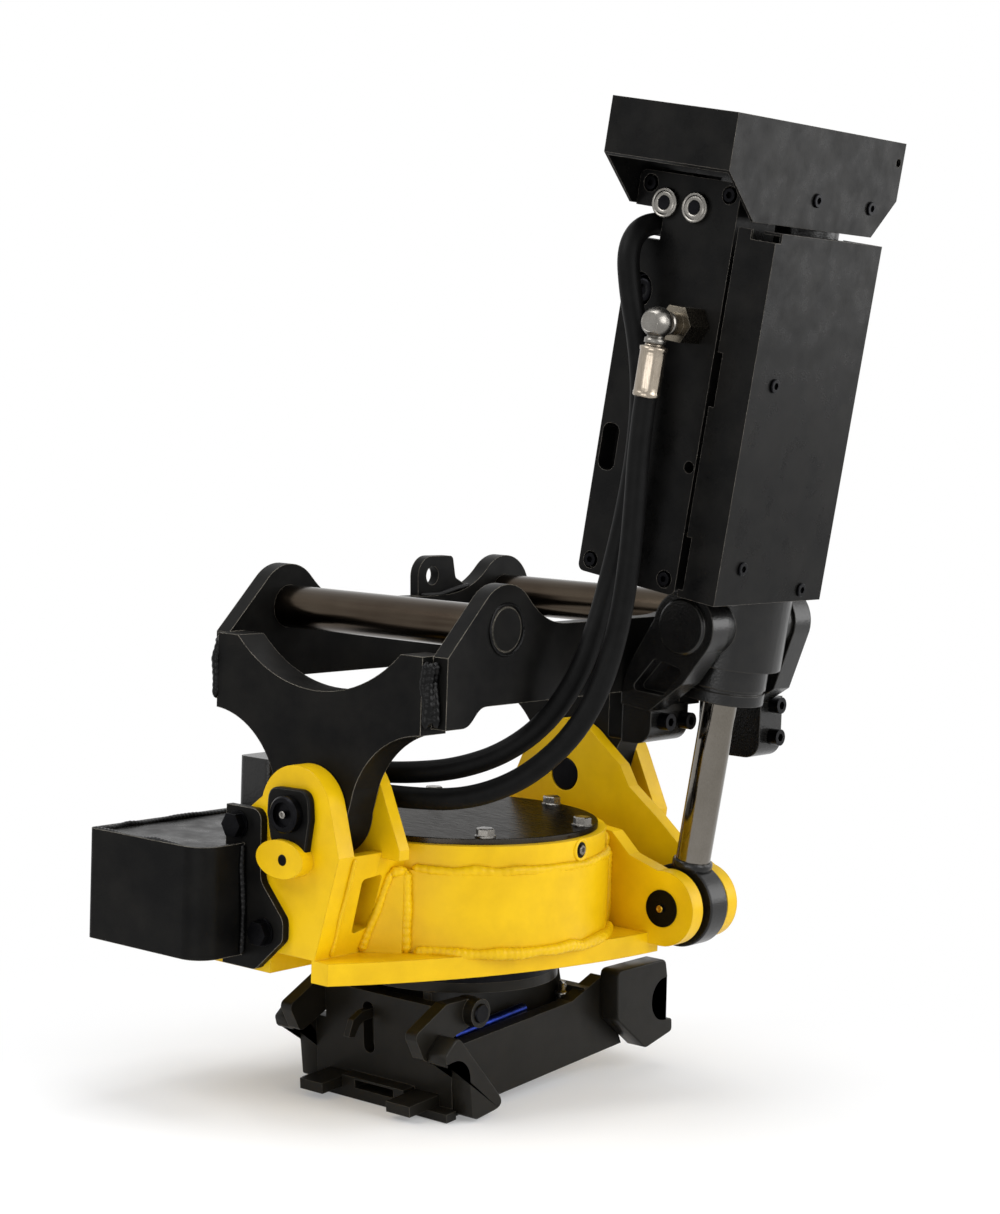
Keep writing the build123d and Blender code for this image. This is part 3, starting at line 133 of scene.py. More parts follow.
def soften(tree, shader, radius_mm, height, strength, distance_mm):
    """Round the look of sharp edges, and add a bump from a height."""
    rounded = node(tree, "ShaderNodeBevel", {"samples": BEVEL_SAMPLES}, {"Radius": radius_mm * MM})
    bump = node(tree, "ShaderNodeBump", inputs={
        "Strength": strength, "Distance": distance_mm * MM, "Height": height, "Normal": rounded.outputs[0]})
    tree.links.new(bump.outputs[0], shader.inputs["Normal"])


def painted_steel(name, colour, dust_and_highlight, rough, gloss, edge_mm, grain_mm, blotch_mm, edge_wear_and_highlight, haze):
    """Coated steel: a level coat with fine grain, cloudy handling marks, and edges mixed towards a second
    colour, which on the black coats is a pale painted highlight as well as wear.
    """
    material, tree, shader = new_material(name)
    place = object_place(tree)
    cloud = spots(tree, place, blotch_mm, low=0.0, high=haze, detail=6.0)
    edge = edge_wear_and_highlight_mask(tree, edge_mm)
    patches = spots(tree, place, size_mm=11, low=0.45, high=1.0, detail=4.0)
    # Edges, broken into patches, take the second colour: on the black coats a pale painted highlight along
    # every edge, partly wear
    amount = node(tree, "ShaderNodeMath", {"operation": "MULTIPLY"}, {0: edge, 1: patches})
    marks = node(tree, "ShaderNodeMath", {"operation": "MULTIPLY_ADD", "use_clamp": True}, {
        0: amount.outputs[0], 1: edge_wear_and_highlight, 2: cloud})
    tint = node(tree, "ShaderNodeMix", {"data_type": "RGBA"}, {
        "Factor": marks.outputs[0], COLOUR_A: to_linear(colour), COLOUR_B: to_linear(dust_and_highlight)})
    tree.links.new(tint.outputs[COLOUR_OUT], shader.inputs["Base Color"])
    lustre = spots(tree, place, blotch_mm * 0.6, low=rough - 0.06, high=rough + 0.10, detail=5.0)
    tree.links.new(lustre, shader.inputs["Roughness"])
    shader.inputs["Specular IOR Level"].default_value = gloss
    grain = spots(tree, place, grain_mm, low=0.0, high=1.0, detail=2.0)
    soften(tree, shader, edge_mm, grain, strength=0.2, distance_mm=0.2)
    return material


def bare_metal(name, colour, dark, rough, spread, streak, edge_mm, brush_mm, stain_mm=40, glance=1.0):
    """Machined or plated metal: tool lines along one way, cloudy stains, and a rim that glance dims."""
    material, tree, shader = new_material(name)
    place = object_place(tree)
    lines = node(tree, "ShaderNodeMapping", inputs={"Vector": place, "Scale": streak})
    grain = spots(tree, lines.outputs[0], brush_mm, low=0.0, high=1.0, detail=2.0)
    stain = spots(tree, place, stain_mm, low=0.0, high=0.6, detail=4.0)
    both = node(tree, "ShaderNodeMath", {"operation": "MULTIPLY_ADD", "use_clamp": True}, {
        0: grain, 1: 0.4, 2: stain})
    tint = node(tree, "ShaderNodeMix", {"data_type": "RGBA"}, {
        "Factor": both.outputs[0], COLOUR_A: to_linear(colour), COLOUR_B: to_linear(dark)})
    tree.links.new(tint.outputs[COLOUR_OUT], shader.inputs["Base Color"])
    shader.inputs["Metallic"].default_value = 1.0
    shader.inputs["Specular Tint"].default_value = (glance, glance, glance, 1.0)
    lustre = node(tree, "ShaderNodeMapRange", inputs={
        "Value": grain, "To Min": rough - spread, "To Max": rough + spread})
    tree.links.new(lustre.outputs[0], shader.inputs["Roughness"])
    soften(tree, shader, edge_mm, grain, strength=0.08, distance_mm=0.1)
    return material


def cast_black(name, colour, pale, rough, gloss, grain_mm):
    """Sand cast iron under black paint: a pebbled skin that breaks up every highlight, with edges painted
    pale as a highlight and faint dust specks of the same colour.
    """
    material, tree, shader = new_material(name)
    place = object_place(tree)
    edge = edge_wear_and_highlight_mask(tree, CAST_EDGE_MM)
    dust_and_highlight = spots(tree, place, size_mm=18, low=0.0, high=0.05, detail=4.0)
    # Edges take the pale colour as a painted highlight, partly wear; the dust specks take it too
    marks = node(tree, "ShaderNodeMath", {"operation": "MULTIPLY_ADD", "use_clamp": True}, {
        0: edge, 1: CAST_EDGE_WEAR_AND_HIGHLIGHT, 2: dust_and_highlight})
    tint = node(tree, "ShaderNodeMix", {"data_type": "RGBA"}, {
        "Factor": marks.outputs[0], COLOUR_A: to_linear(colour), COLOUR_B: to_linear(pale)})
    tree.links.new(tint.outputs[COLOUR_OUT], shader.inputs["Base Color"])
    shader.inputs["Roughness"].default_value = rough
    shader.inputs["Specular IOR Level"].default_value = gloss
    grain = node(tree, "ShaderNodeTexVoronoi", inputs={"Vector": place, "Scale": 1000 / grain_mm})
    soften(tree, shader, CAST_EDGE_MM, grain.outputs["Distance"], strength=0.35, distance_mm=0.5)
    return material


def hose_rubber():
    """Extruded rubber hose cover: matt black with marks of its wrapping cloth, drawn coarse to show."""
    material, tree, shader = new_material("extruded_rubber_hose")
    around = node(tree, "ShaderNodeUVMap", {"uv_map": "along"})
    weave = node(tree, "ShaderNodeTexWave", {"wave_type": "BANDS", "bands_direction": "DIAGONAL"}, {
        "Vector": around.outputs[0], "Scale": 1 / (WAVES_A_UNIT * CLOTH_MM * MM), "Distortion": 0.4,
        "Detail": 1.0})
    tint = node(tree, "ShaderNodeMix", {"data_type": "RGBA"}, {
        "Factor": spots(tree, object_place(tree), size_mm=22, low=0.0, high=1.0, detail=4.0),
        COLOUR_A: to_linear("#060606"), COLOUR_B: to_linear("#0c0c0c")})
    tree.links.new(tint.outputs[COLOUR_OUT], shader.inputs["Base Color"])
    shader.inputs["Roughness"].default_value = 0.5
    shader.inputs["Specular IOR Level"].default_value = 0.08
    bump = node(tree, "ShaderNodeBump", inputs={
        "Strength": 0.12, "Distance": 0.2 * MM, "Height": weave.outputs["Fac"]})
    tree.links.new(bump.outputs[0], shader.inputs["Normal"])
    return material


# Finishes: sizes in millimetres, with cast grain, weld grain and grinding lines coarser than real, to show

# Black powder coat on thick plate: deep, half gloss, cloudy where hands and dust touched it, and paler
# along its edges as painted highlight and wear
black_coat = painted_steel(
    "powder_coated_steel_black", "#0a0a0a", "#a39c8e", rough=0.36, gloss=0.06, edge_mm=1.6, grain_mm=1.6,
    blotch_mm=60, edge_wear_and_highlight=1.0, haze=0.012)
# The same coat on the folded sheet of the cover: smoother and deeper, with rounded folds painted paler as a
# highlight and as wear
black_sheet = painted_steel(
    "powder_coated_sheet_black", "#0a0a0a", "#a8a196", rough=0.30, gloss=0.08, edge_mm=1.1, grain_mm=2.0,
    blotch_mm=55, edge_wear_and_highlight=0.7, haze=0.012)
# The hitch plates: the black coat painted a little greyer and browner to stand in for the warm light on the
# hitch, with paler edges as painted highlight and wear
black_hitch = painted_steel(
    "powder_coated_steel_hitch", "#15130f", "#8f887b", rough=0.34, gloss=0.14, edge_mm=1.2, grain_mm=1.6,
    blotch_mm=45, edge_wear_and_highlight=0.45, haze=0.012)
# Yellow enamel over welded plate: bright, half gloss, slightly darker in its clouds
yellow_coat = painted_steel(
    "enamelled_steel_yellow", "#e3b806", "#bd9006", rough=0.36, gloss=0.20, edge_mm=1.8, grain_mm=2.0,
    blotch_mm=60, edge_wear_and_highlight=0.2, haze=0.35)
# Cast brackets and the cylinder's cast parts: pebbled skin that glitters, with a warm pale colour on edges
# and specks as a painted warm reflection
cast_coat = cast_black("sand_cast_iron_black", "#0a0a0a", "#4a463e", rough=0.25, gloss=0.34, grain_mm=3.2)
# Paint over weld metal: glossier and lumpy, so it sparkles beside the plates
weld_coat = cast_black("painted_weld_black", "#050505", "#121110", rough=0.24, gloss=0.14, grain_mm=4.0)
# Blackened bolts: thin oxide that shows dull metal
black_oxide = bare_metal(
    "black_oxide_steel", "#1c1c1e", "#0e0e10", rough=0.38, spread=0.05, streak=EVEN, edge_mm=0.8,
    brush_mm=2.0)
# Coupler pins: hardened and polished, tinted brown as a painted warm reflection, with faint marks along the
# pin
pin_steel = bare_metal(
    "polished_pin_steel", "#4c443a", "#382f27", rough=0.20, spread=0.03, streak=(0.03, 1, 1), edge_mm=1.2,
    brush_mm=4.0, stain_mm=160)
# Hard chrome on the rod: the brightest mirror, with faint grinding lines
chrome = bare_metal(
    "hard_chrome", "#7d7871", "#69645c", rough=0.11, spread=0.03, streak=(1, 1, 0.3), edge_mm=0.4,
    brush_mm=1.0, stain_mm=120)
# Cover disc: ground plate with long grinding lines
ground_plate = bare_metal(
    "ground_steel_plate", "#45413c", "#322f2b", rough=0.27, spread=0.08, streak=(0.06, 1, 1), edge_mm=0.8,
    brush_mm=1.2, stain_mm=90, glance=0.4)
# Zinc plated fittings: pale, fine grained
zinc = bare_metal(
    "zinc_plated_steel", "#8a8782", "#6e6b66", rough=0.28, spread=0.03, streak=EVEN, edge_mm=0.8,
    brush_mm=1.6)
# Crimped ferrule: warmer plate with marks of the crimping jaws
ferrule_metal = bare_metal(
    "nickel_plated_ferrule", "#a89e90", "#8d8376", rough=0.24, spread=0.03, streak=(1, 1, 0.1), edge_mm=0.8,
    brush_mm=1.6)
# Hexagon adapter: dull nickel, a shade darker than the fittings beside it
adapter_metal = bare_metal(
    "dull_nickel_steel", "#7d766a", "#5e584e", rough=0.26, spread=0.05, streak=EVEN, edge_mm=0.8,
    brush_mm=1.6)
# Yellow chromated nipple: the one warm spot on a black pin
brass = bare_metal(
    "chromated_steel_nipple", "#b58e2e", "#8a6a20", rough=0.3, spread=0.05, streak=EVEN, edge_mm=0.5,
    brush_mm=1.6)
# Sand cast bronze of the tilt bushes and the worm wheel: a warm edge between black parts
bronze = bare_metal(
    "cast_bronze", "#a87a44", "#7d5930", rough=0.34, spread=0.08, streak=EVEN, edge_mm=0.5,
    brush_mm=1.6)
# Seals: matt moulded rubber, a dark line where two parts meet
seal_rubber = cast_black("moulded_nitrile_rubber", "#0b0b0b", "#222222", rough=0.6, gloss=0.2, grain_mm=1.4)
# Hoses: extruded rubber, dull beside the coated steel
hose_cover = hose_rubber()
# Sleeve of the lock line: the one blue spot under the drum
blue_sleeve = bare_metal(
    "anodised_blue_sleeve", "#1d2f7a", "#141d4c", rough=0.34, spread=0.05, streak=(1, 0.1, 1), edge_mm=0.8,
    brush_mm=1.6)

# Nodes of the source by the finish that they wear
FINISH = {
    black_coat: ["upper_frame", "motor_guard", "lock_cylinder"],
    black_sheet: ["valve_plate", "cover_box", "hood", "valve_block"],
    black_hitch: ["hitch_frame", "front_hooks", "rear_hooks", "hitch_brackets", "locking_slide",
                  "lock_lever"],
    yellow_coat: ["rotor_housing"],
    cast_coat: ["trunnion_bracket_front", "trunnion_bracket_rear", "cylinder_barrel", "cylinder_gland",
                "cylinder_head", "rod_eye", "swing_motor", "hose_inlets", "trunnion_pin_front",
                "trunnion_pin_rear"],
    black_oxide: ["bracket_screws", "guard_bolts", "valve_plate_screws", "cover_screws", "tilt_lock_front",
                  "tilt_lock_rear", "tilt_pin_front", "tilt_pin_rear", "rod_pin", "rotor_hub"],
    pin_steel: ["coupler_pin_front", "coupler_pin_rear", "worm_shaft", "swivel_core", "thrust_ring"],
    chrome: ["piston_rod", "piston"],
    ground_plate: ["cover_disc"],
    zinc: ["port_plugs", "hose_elbow", "cover_bolts", "upper_bearing", "lower_bearing", "worm_bearings"],
    ferrule_metal: ["hose_ferrule"],
    adapter_metal: ["hose_adapter"],
    bronze: ["tilt_bush_front", "tilt_bush_rear", "worm_wheel"],
    seal_rubber: ["rotor_seal", "rod_wiper", "hose_front", "hose_rear"],
}
for finish_material, names in FINISH.items():
    for name in names:
        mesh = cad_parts[name].data
        mesh.materials.clear()
        mesh.materials.append(finish_material)


# Own axes of the cylinder and of the hitch, placed in millimetres
TRUNNION_X, TRUNNION_Y = 314, 380
ROD_PIN_X, ROD_PIN_Z = 251, -410
LEAN = math.atan2(TRUNNION_X - ROD_PIN_X, -ROD_PIN_Z)
TOOL_PIN_Y, TOOL_PIN_Z = -12, -621
PITCH = math.radians(5)


def cyl_point(x, y, z):
    """A point on the tilt cylinder's own axes, from its trunnion, in metres of the shared frame."""
    c, s = math.cos(LEAN), math.sin(LEAN)
    return ((TRUNNION_X + x * c + z * s) * MM, (TRUNNION_Y + y) * MM, (-x * s + z * c) * MM)


def hitch_point(x, y, z):
    """A point on the hitch's pitched axes, from its front tool pin, in metres of the shared frame."""
    c, s = math.cos(PITCH), math.sin(PITCH)
    return (x * MM, (TOOL_PIN_Y + y * c - z * s) * MM, (TOOL_PIN_Z + y * s + z * c) * MM)


def cyl_way(x, y, z):
    """The unit direction that one step along the cylinder's own axes makes in the shared frame."""
    return (np.asarray(cyl_point(x, y, z)) - np.asarray(cyl_point(0, 0, 0))) / MM


# Surfaces on a grid
STEADY = (0.36, 0.48, 0.80)
HEXAGON = 6
CORNER_STEPS = 7
CORNER_SHARE = 0.48
KNEE_SHARE = 0.3
NO_ZERO = 1e-9
SEAT_R = 30.3


def mm(points):
    """Points given in millimetres, as an array in metres."""
    return np.asarray(points, float) * MM


def grid_faces(rows, cols, first=0, closed=True):
    """Four-sided faces between neighbours of a grid whose points count up from first, round or open."""
    i = np.arange(rows - 1)[:, None]
    j = np.arange(cols if closed else cols - 1)[None, :]
    k = (j + 1) % cols
    near, far = i * cols, (i + 1) * cols
    return (np.stack([near + j, near + k, far + k, far + j], -1).reshape(-1, 4) + first).tolist()


def capped_grids(grids):
    """Points and faces of closed grids, each with end caps that have their own points."""
    vertices, faces, first = [], [], 0
    for points in grids:
        rows, cols = points.shape[:2]
        cap = first + rows * cols
        faces += grid_faces(rows, cols, first)
        faces.append(list(range(cap + cols - 1, cap - 1, -1)))
        faces.append(list(range(cap + cols, cap + 2 * cols)))
        vertices += [points.reshape(-1, 3), points[0], points[-1]]
        first = cap + 2 * cols
    return np.concatenate(vertices), faces


def make_mesh(name, vertices, faces, material, smooth=True):
    """A mesh of one material, shaded smooth or flat all over."""
    mesh = bpy.data.meshes.new(name)
    mesh.from_pydata(vertices.tolist(), [], faces)
    mesh.materials.append(material)
    mesh.polygons.foreach_set("use_smooth", np.full(len(mesh.polygons), smooth))
    mesh.update()
    return mesh


def lay_uv(mesh, uv):
    """Give each corner of a mesh the measure of its point, in a layer named along."""
    layer = mesh.uv_layers.new(name="along")
    index = np.zeros(len(mesh.loops), dtype=np.int32)
    mesh.loops.foreach_get("vertex_index", index)
    layer.data.foreach_set("uv", uv[index].astype(np.float32).ravel())


def place_mesh(mesh):
    """Put a mesh in the scene, with its object at the origin."""
    placed = bpy.data.objects.new(mesh.name, mesh)
    bpy.context.scene.collection.objects.link(placed)
    return placed


def join_grids(name, grids, material, body, smooth=True, replaced=None):
    """Closed grids as one piece of one material that rides on a body and may replace a node."""
    piece = place_mesh(make_mesh(name, *capped_grids(grids), material, smooth))
    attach(piece, body)
    if replaced:
        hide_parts(replaced)


def along(path, step):
    """Even points along a polyline: the running length is cut into equal parts of about step."""
    path = np.asarray(path, float)
    run = np.r_[0, np.cumsum(np.linalg.norm(np.diff(path, axis=0), axis=1))]
    count = max(3, int(run[-1] / step) + 1)
    at = np.linspace(0, run[-1], count)
    return np.stack([np.interp(at, run, path[:, k]) for k in range(3)], 1), at


def across_line(line, lean):
    """Two directions square to a line at each point: its run crossed with lean, then with that result."""
    forward = np.gradient(line, axis=0)
    forward /= np.linalg.norm(forward, axis=1)[:, None]
    side = np.cross(forward, np.asarray(lean, float))
    side /= np.linalg.norm(side, axis=1)[:, None]
    return side, np.cross(forward, side)


def tube_points(line, radius, sides, lean):
    """A round tube: a circle of the given radius carried along the line, one ring a point."""
    side, up = across_line(line, lean)
    turn = np.linspace(0, 2 * math.pi, sides, endpoint=False)[None, :, None]
    radius = np.broadcast_to(radius, (len(line),))[:, None, None]
    return line[:, None, :] + radius * (np.cos(turn) * side[:, None, :] + np.sin(turn) * up[:, None, :])


def turned(centre, axis, profile, sides):
    """A turned form: each radius and height of the profile, in mm, swung round an axis through centre."""
    axis = np.asarray(axis, float) / np.linalg.norm(axis)
    side = np.cross(axis, STEADY)
    side /= np.linalg.norm(side)
    up = np.cross(axis, side)
    profile = mm(profile)
    turn = np.linspace(0, 2 * math.pi, sides, endpoint=False)
    ring = np.cos(turn)[:, None] * side + np.sin(turn)[:, None] * up
    return np.asarray(centre, float) + profile[:, 0, None, None] * ring + profile[:, 1, None, None] * axis


def turned_piece(name, places, profile, material, body, sides, replaced=None):
    """One turned form at each centre and axis of places, as one piece. A hexagon is shaded flat."""
    grids = [turned(centre, axis, profile, sides) for centre, axis in places]
    join_grids(name, grids, material, body, sides != HEXAGON, replaced)


def rounded(corners, radii):
    """An outline whose corners are parabolas, each from a point down one side to one down the other."""
    corners = np.asarray(corners, float)
    before = np.roll(corners, 1, axis=0) - corners
    after = np.roll(corners, -1, axis=0) - corners
    long_before = np.linalg.norm(before, axis=1, keepdims=True)
    long_after = np.linalg.norm(after, axis=1, keepdims=True)
    before, after = before / long_before, after / long_after
    half = 0.5 * np.arccos(np.clip(np.sum(before * after, axis=1, keepdims=True), -1, 1))
    tangent = np.asarray(radii, float)[:, None] / np.tan(half)
    tangent = np.minimum(tangent, CORNER_SHARE * np.minimum(long_before, long_after))
    before, after = (before * tangent)[:, None], (after * tangent)[:, None]
    s = np.linspace(0, 1, CORNER_STEPS)[None, :, None]
    return (corners[:, None] + (1 - s) ** 2 * before + s ** 2 * after).reshape(-1, 2)


def plate(outline, near, far, place, edge=2.0):
    """A plate: the outline at near and far, in mm, drawn in by edge at both faces to round its rims."""
    outline = np.asarray(outline, float)
    following = np.roll(outline, -1, axis=0)
    if np.sum(outline[:, 0] * following[:, 1] - following[:, 0] * outline[:, 1]) < 0:
        outline = outline[::-1]
    tangent = np.roll(outline, -1, axis=0) - np.roll(outline, 1, axis=0)
    tangent /= np.linalg.norm(tangent, axis=1, keepdims=True) + NO_ZERO
    inward = np.stack([-tangent[:, 1], tangent[:, 0]], 1)
    knee = KNEE_SHARE * edge
    levels = [(near, edge), (near + knee, knee), (near + edge, 0),
              (far - edge, 0), (far - knee, knee), (far, edge)]
    return np.stack([place(level, outline + inset * inward) for level, inset in levels])


def across_hitch(x, outline):
    """A hitch outline of y and z, set at x."""
    return np.stack(hitch_point(np.full(len(outline), x), outline[:, 0], outline[:, 1]), 1)


def across_front(depth, outline):
    """An outline of x and z, set at a depth in front of y = 0."""
    return mm(np.stack([outline[:, 0], np.full(len(outline), -depth), outline[:, 1]], 1))


def across_cylinder(depth, outline):
    """An outline of the cylinder's own x and z, set at a depth in front of its axis."""
    return np.stack(cyl_point(outline[:, 0], np.full(len(outline), -depth), outline[:, 1]), 1)


def lying(height, outline):
    """An outline of x and y, laid flat at a height."""
    return mm(np.stack([outline[:, 0], outline[:, 1], np.full(len(outline), height)], 1))


def seat_arc(cy, start, end, count=26):
    """The round seat of a tool pin: points on a circle about (cy, 0), from start to end in degrees."""
    a = np.radians(np.linspace(start, end, count))
    return np.stack([cy + SEAT_R * np.cos(a), SEAT_R * np.sin(a)], 1)


def arc(cx, cy, r, z, start, end, count=80):
    """Points on a level circle about (cx, cy), from start to end in degrees."""
    a = np.radians(np.linspace(start, end, count))
    return mm(np.stack([cx + r * np.cos(a), cy + r * np.sin(a), np.full(count, z)], 1))


def upright_ring(x, y, z, r, count=90):
    """Points on a circle across x about (y, z)."""
    a = np.linspace(0, 2 * math.pi, count)
    return mm(np.stack([np.full(count, x), y + r * np.cos(a), z + r * np.sin(a)], 1))


# Hoses, in metres: thickness, fineness, the cover's pattern round them, the cut and the ends of the bends
HOSE_RADIUS = 0.015
HOSE_SIDES = 28
HOSE_STEP = 0.006
HOSE_LAP = 0.094
HOSE_LEAN = (0.577, 0.577, -0.577)
CURVE_STEPS = 24
CUT_FRONT, CUT_REAR = -0.07, -0.06


def spline_line(name, route):
    """Points read from the smooth NURBS line that the route's points steer, with their running length."""
    curve = bpy.data.curves.new(name + "_route", "CURVE")
    curve.dimensions = "3D"
    curve.resolution_u = CURVE_STEPS
    spline = curve.splines.new("NURBS")
    spline.points.add(len(route) - 1)
    for point, place in zip(spline.points, route):
        point.co = (*place, 1.0)
    spline.order_u = 3
    spline.use_endpoint_u = True
    holder = bpy.data.objects.new(name + "_route", curve)
    line_mesh = bpy.data.meshes.new_from_object(holder)
    flat = np.zeros(len(line_mesh.vertices) * 3, dtype=np.float32)
    line_mesh.vertices.foreach_get("co", flat)
    bpy.data.objects.remove(holder)
    bpy.data.curves.remove(curve)
    bpy.data.meshes.remove(line_mesh)
    return along(flat.reshape(-1, 3), HOSE_STEP)


def hose(name, route, cut_z, replaced):
    """A hose in two pieces that meet on the upper frame: the part above cut_z and the part below."""
    line, run = spline_line(name, route)
    whole = tube_points(line, HOSE_RADIUS, HOSE_SIDES, HOSE_LEAN)
    turn = np.linspace(0, HOSE_LAP, HOSE_SIDES, endpoint=False)
    cut = int(np.argmax(line[:, 2] < cut_z))
    pieces = []
    for part, rows in (("upper", slice(0, cut + 1)), ("lower", slice(cut, len(line)))):
        sub, sub_run = line[rows], run[rows]
        uv = np.stack(np.broadcast_arrays(turn[None, :], sub_run[:, None]), -1)
        mesh = make_mesh(name + "_" + part, *capped_grids([whole[rows]]), hose_cover)
        lay_uv(mesh, np.concatenate([uv.reshape(-1, 2), uv[0], uv[-1]]))
        piece = place_mesh(mesh)
        pieces.append(piece)
    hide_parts(replaced)
    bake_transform(pieces[0])
    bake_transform(pieces[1])


# Routes: points on the cylinder in mm, then points of the shared frame in metres
FRONT_ROUTE = [
    cyl_point(-14, -275, 324), cyl_point(-14, -275, 262), cyl_point(0, -276, 150), cyl_point(5, -276, 60),
    (0.318, 0.099, -0.012), (0.307, 0.080, -0.082), (0.284, 0.054, -0.142), (0.240, 0.026, -0.192),
    (0.193, 0.002, -0.220), (0.144, -0.017, -0.234), (0.084, -0.030, -0.238), (0.020, -0.036, -0.240),
    (-0.040, -0.036, -0.248), (-0.094, -0.032, -0.258), (-0.140, -0.032, -0.258),
]
REAR_ROUTE = [
    cyl_point(-112, -163, 535), cyl_point(-112, -206, 535), cyl_point(-110, -240, 500),
    cyl_point(-94, -238, 440), cyl_point(-74, -232, 385), cyl_point(-57, -228, 320),
    cyl_point(-50, -226, 240), cyl_point(-51, -226, 155), cyl_point(-57, -228, 70),
    (0.264, 0.128, 0.0), (0.256, 0.100, -0.066), (0.234, 0.066, -0.126),
    (0.190, 0.034, -0.170), (0.130, 0.008, -0.196), (0.062, -0.010, -0.208), (-0.010, -0.018, -0.214),
    (-0.082, -0.008, -0.224), (-0.140, -0.008, -0.224),
]
hose("front_hose", FRONT_ROUTE, CUT_FRONT, "hose_front")
hose("rear_hose", REAR_ROUTE, CUT_REAR, "hose_rear")

# Weld beads: fineness, how much the coins and the welder's hand swell them, and how thin an end gets
BEAD_SIDES = 10
POINTS_A_PITCH = 5
KNOT_STEP = 0.03
COIN_SWELL, SLOW_SWELL = 0.16, 0.10
END_SHARE = 0.15
BEAD_LEAN = (0.31, 0.17, 0.93)


def bead(path, radius_mm, pitch_mm, seed, wander_mm=0.8):
    """A weld bead: a tube whose radius swells once a pitch like overlapping coins, with a slow wander."""
    line, run = along(path, pitch_mm * MM / POINTS_A_PITCH)
    rng = np.random.default_rng(seed)
    knots = rng.normal(0, wander_mm * MM, (max(3, int(run[-1] / KNOT_STEP) + 2), 3))
    at = np.linspace(0, run[-1], len(knots))
    line = line + np.stack([np.interp(run, at, knots[:, k]) for k in range(3)], 1)
    swell = 1 + COIN_SWELL * np.abs(np.sin(math.pi * run / (pitch_mm * MM)))
    swell *= 1 + SLOW_SWELL * np.interp(run, at, rng.normal(0, 1, len(knots)))
    ends = np.clip(np.minimum(run, run[-1] - run) / (radius_mm * MM), END_SHARE, 1) ** 0.5
    return tube_points(line, radius_mm * MM * swell * ends, BEAD_SIDES, BEAD_LEAN)


# Yellow welds: drum to base plate, shoulder of the drum, web and panel, and the near clevis ear
DRUM_X, DRUM_Y = 0, 165
FOOT_R, SHOULDER_R = 220.5, 213
SHOULDER_Z, BASE_Z = -335, -448
FOOT_Z, RIM_Z = BASE_Z + 2, SHOULDER_Z + 1
WEB_FOOT, WEB_MID, WEB_TOP = (45, -82, FOOT_Z), (75, -60, SHOULDER_Z - 2), (86, -41, SHOULDER_Z)
HOUSING_WELDS = [
    # path, radius and length of one coin in mm, seed, wander in mm
    (arc(DRUM_X, DRUM_Y, FOOT_R, FOOT_Z, start=-64, end=43), 7, 9, 2, 1.2),
    (arc(DRUM_X, DRUM_Y, FOOT_R, FOOT_Z, start=62, end=150), 7, 9, 3, 1.2),
    (arc(DRUM_X, DRUM_Y, SHOULDER_R, RIM_Z, start=-66, end=43), 6, 11, 4, 1.0),
    (arc(DRUM_X, DRUM_Y, SHOULDER_R, RIM_Z, start=62, end=150), 6, 11, 5, 1.0),
    (mm([(86, -41, FOOT_Z), WEB_TOP]), 6.5, 10, 6, 1.2),
    (mm([WEB_FOOT, WEB_MID]), 6, 9, 7, 1.0),
    (mm([WEB_MID, WEB_TOP]), 6, 9, 8, 0.8),
    (mm([(82, -139, -309), (43, -139, FOOT_Z)]), 3, 6, 9, 0.4),
    (mm([(155, 318, FOOT_Z), (155, 318, SHOULDER_Z)]), 6.5, 9, 10, 1.0),
    (mm([(150, 318, SHOULDER_Z), (150, 318, -314)]), 5, 9, 11, 0.8),
]
join_grids("housing_welds", [bead(*weld) for weld in HOUSING_WELDS], yellow_coat, "housing")

# Black welds of the upper frame: yokes to side plates, rings round the pin ends, foot of the lifting eye
PLATE_OUT = 212.5
PIN_Y = (0, 480)
YOKE_RUNS = ((190, -134, 5), (192, -128, 6.5), (196, -121, 6))
frame_beads = []
for side in (1, -1):
    for number, (x, y, r) in enumerate(YOKE_RUNS):
        yoke_run = mm([(side * x, y, -37), (side * x, y, -123)])
        frame_beads.append(bead(yoke_run, r, pitch_mm=9, seed=20 + number + 3 * side, wander_mm=1.6))
    for y in (-85, 431, 487):
        inner_run = mm([(side * 185, y, -36), (side * 185, y, -124)])
        frame_beads.append(bead(inner_run, radius_mm=6, pitch_mm=7, seed=30 + side))
    for y in PIN_Y:
        pin_ring = upright_ring(side * (PLATE_OUT + 0.3), y, 0, r=34.5)
        frame_beads.append(bead(pin_ring, radius_mm=1.9, pitch_mm=6, seed=40 + y + side, wander_mm=0.5))
eye_foot = mm([(-191, 286, 4), (-191, 330, 4), (-191, 398, 18)])
frame_beads.append(bead(eye_foot, radius_mm=4, pitch_mm=6, seed=50))
join_grids("frame_welds", frame_beads, weld_coat, "upper_frame")
pin_ends = [(mm((side * PLATE_OUT, y, 0)), (side, 0, 0)) for side in (1, -1) for y in PIN_Y]
turned_piece("pin_end_paint", pin_ends, [(29.9, -0.2), (29.9, 0.2), (28.8, 0.6)],
             black_coat, "upper_frame", sides=64)

# Weld round the inset lid of the motor guard, and one down its flange
LID_Z = -309
guard_run = np.concatenate([
    mm([(-298, 42, LID_Z), (-298, -255, LID_Z), (-120, -255, LID_Z)]),
    arc(-116, -228, 27, LID_Z, start=-90, end=0, count=24),
    mm([(-89, -186, LID_Z)]),
])
flange_run = mm([(-80, -185, -308), (-80, -185, -456)])
join_grids("guard_welds", [
    bead(guard_run, radius_mm=4.6, pitch_mm=7, seed=60, wander_mm=1.0),
    bead(flange_run, radius_mm=4.5, pitch_mm=8, seed=61, wander_mm=1.2),
], weld_coat, "housing")

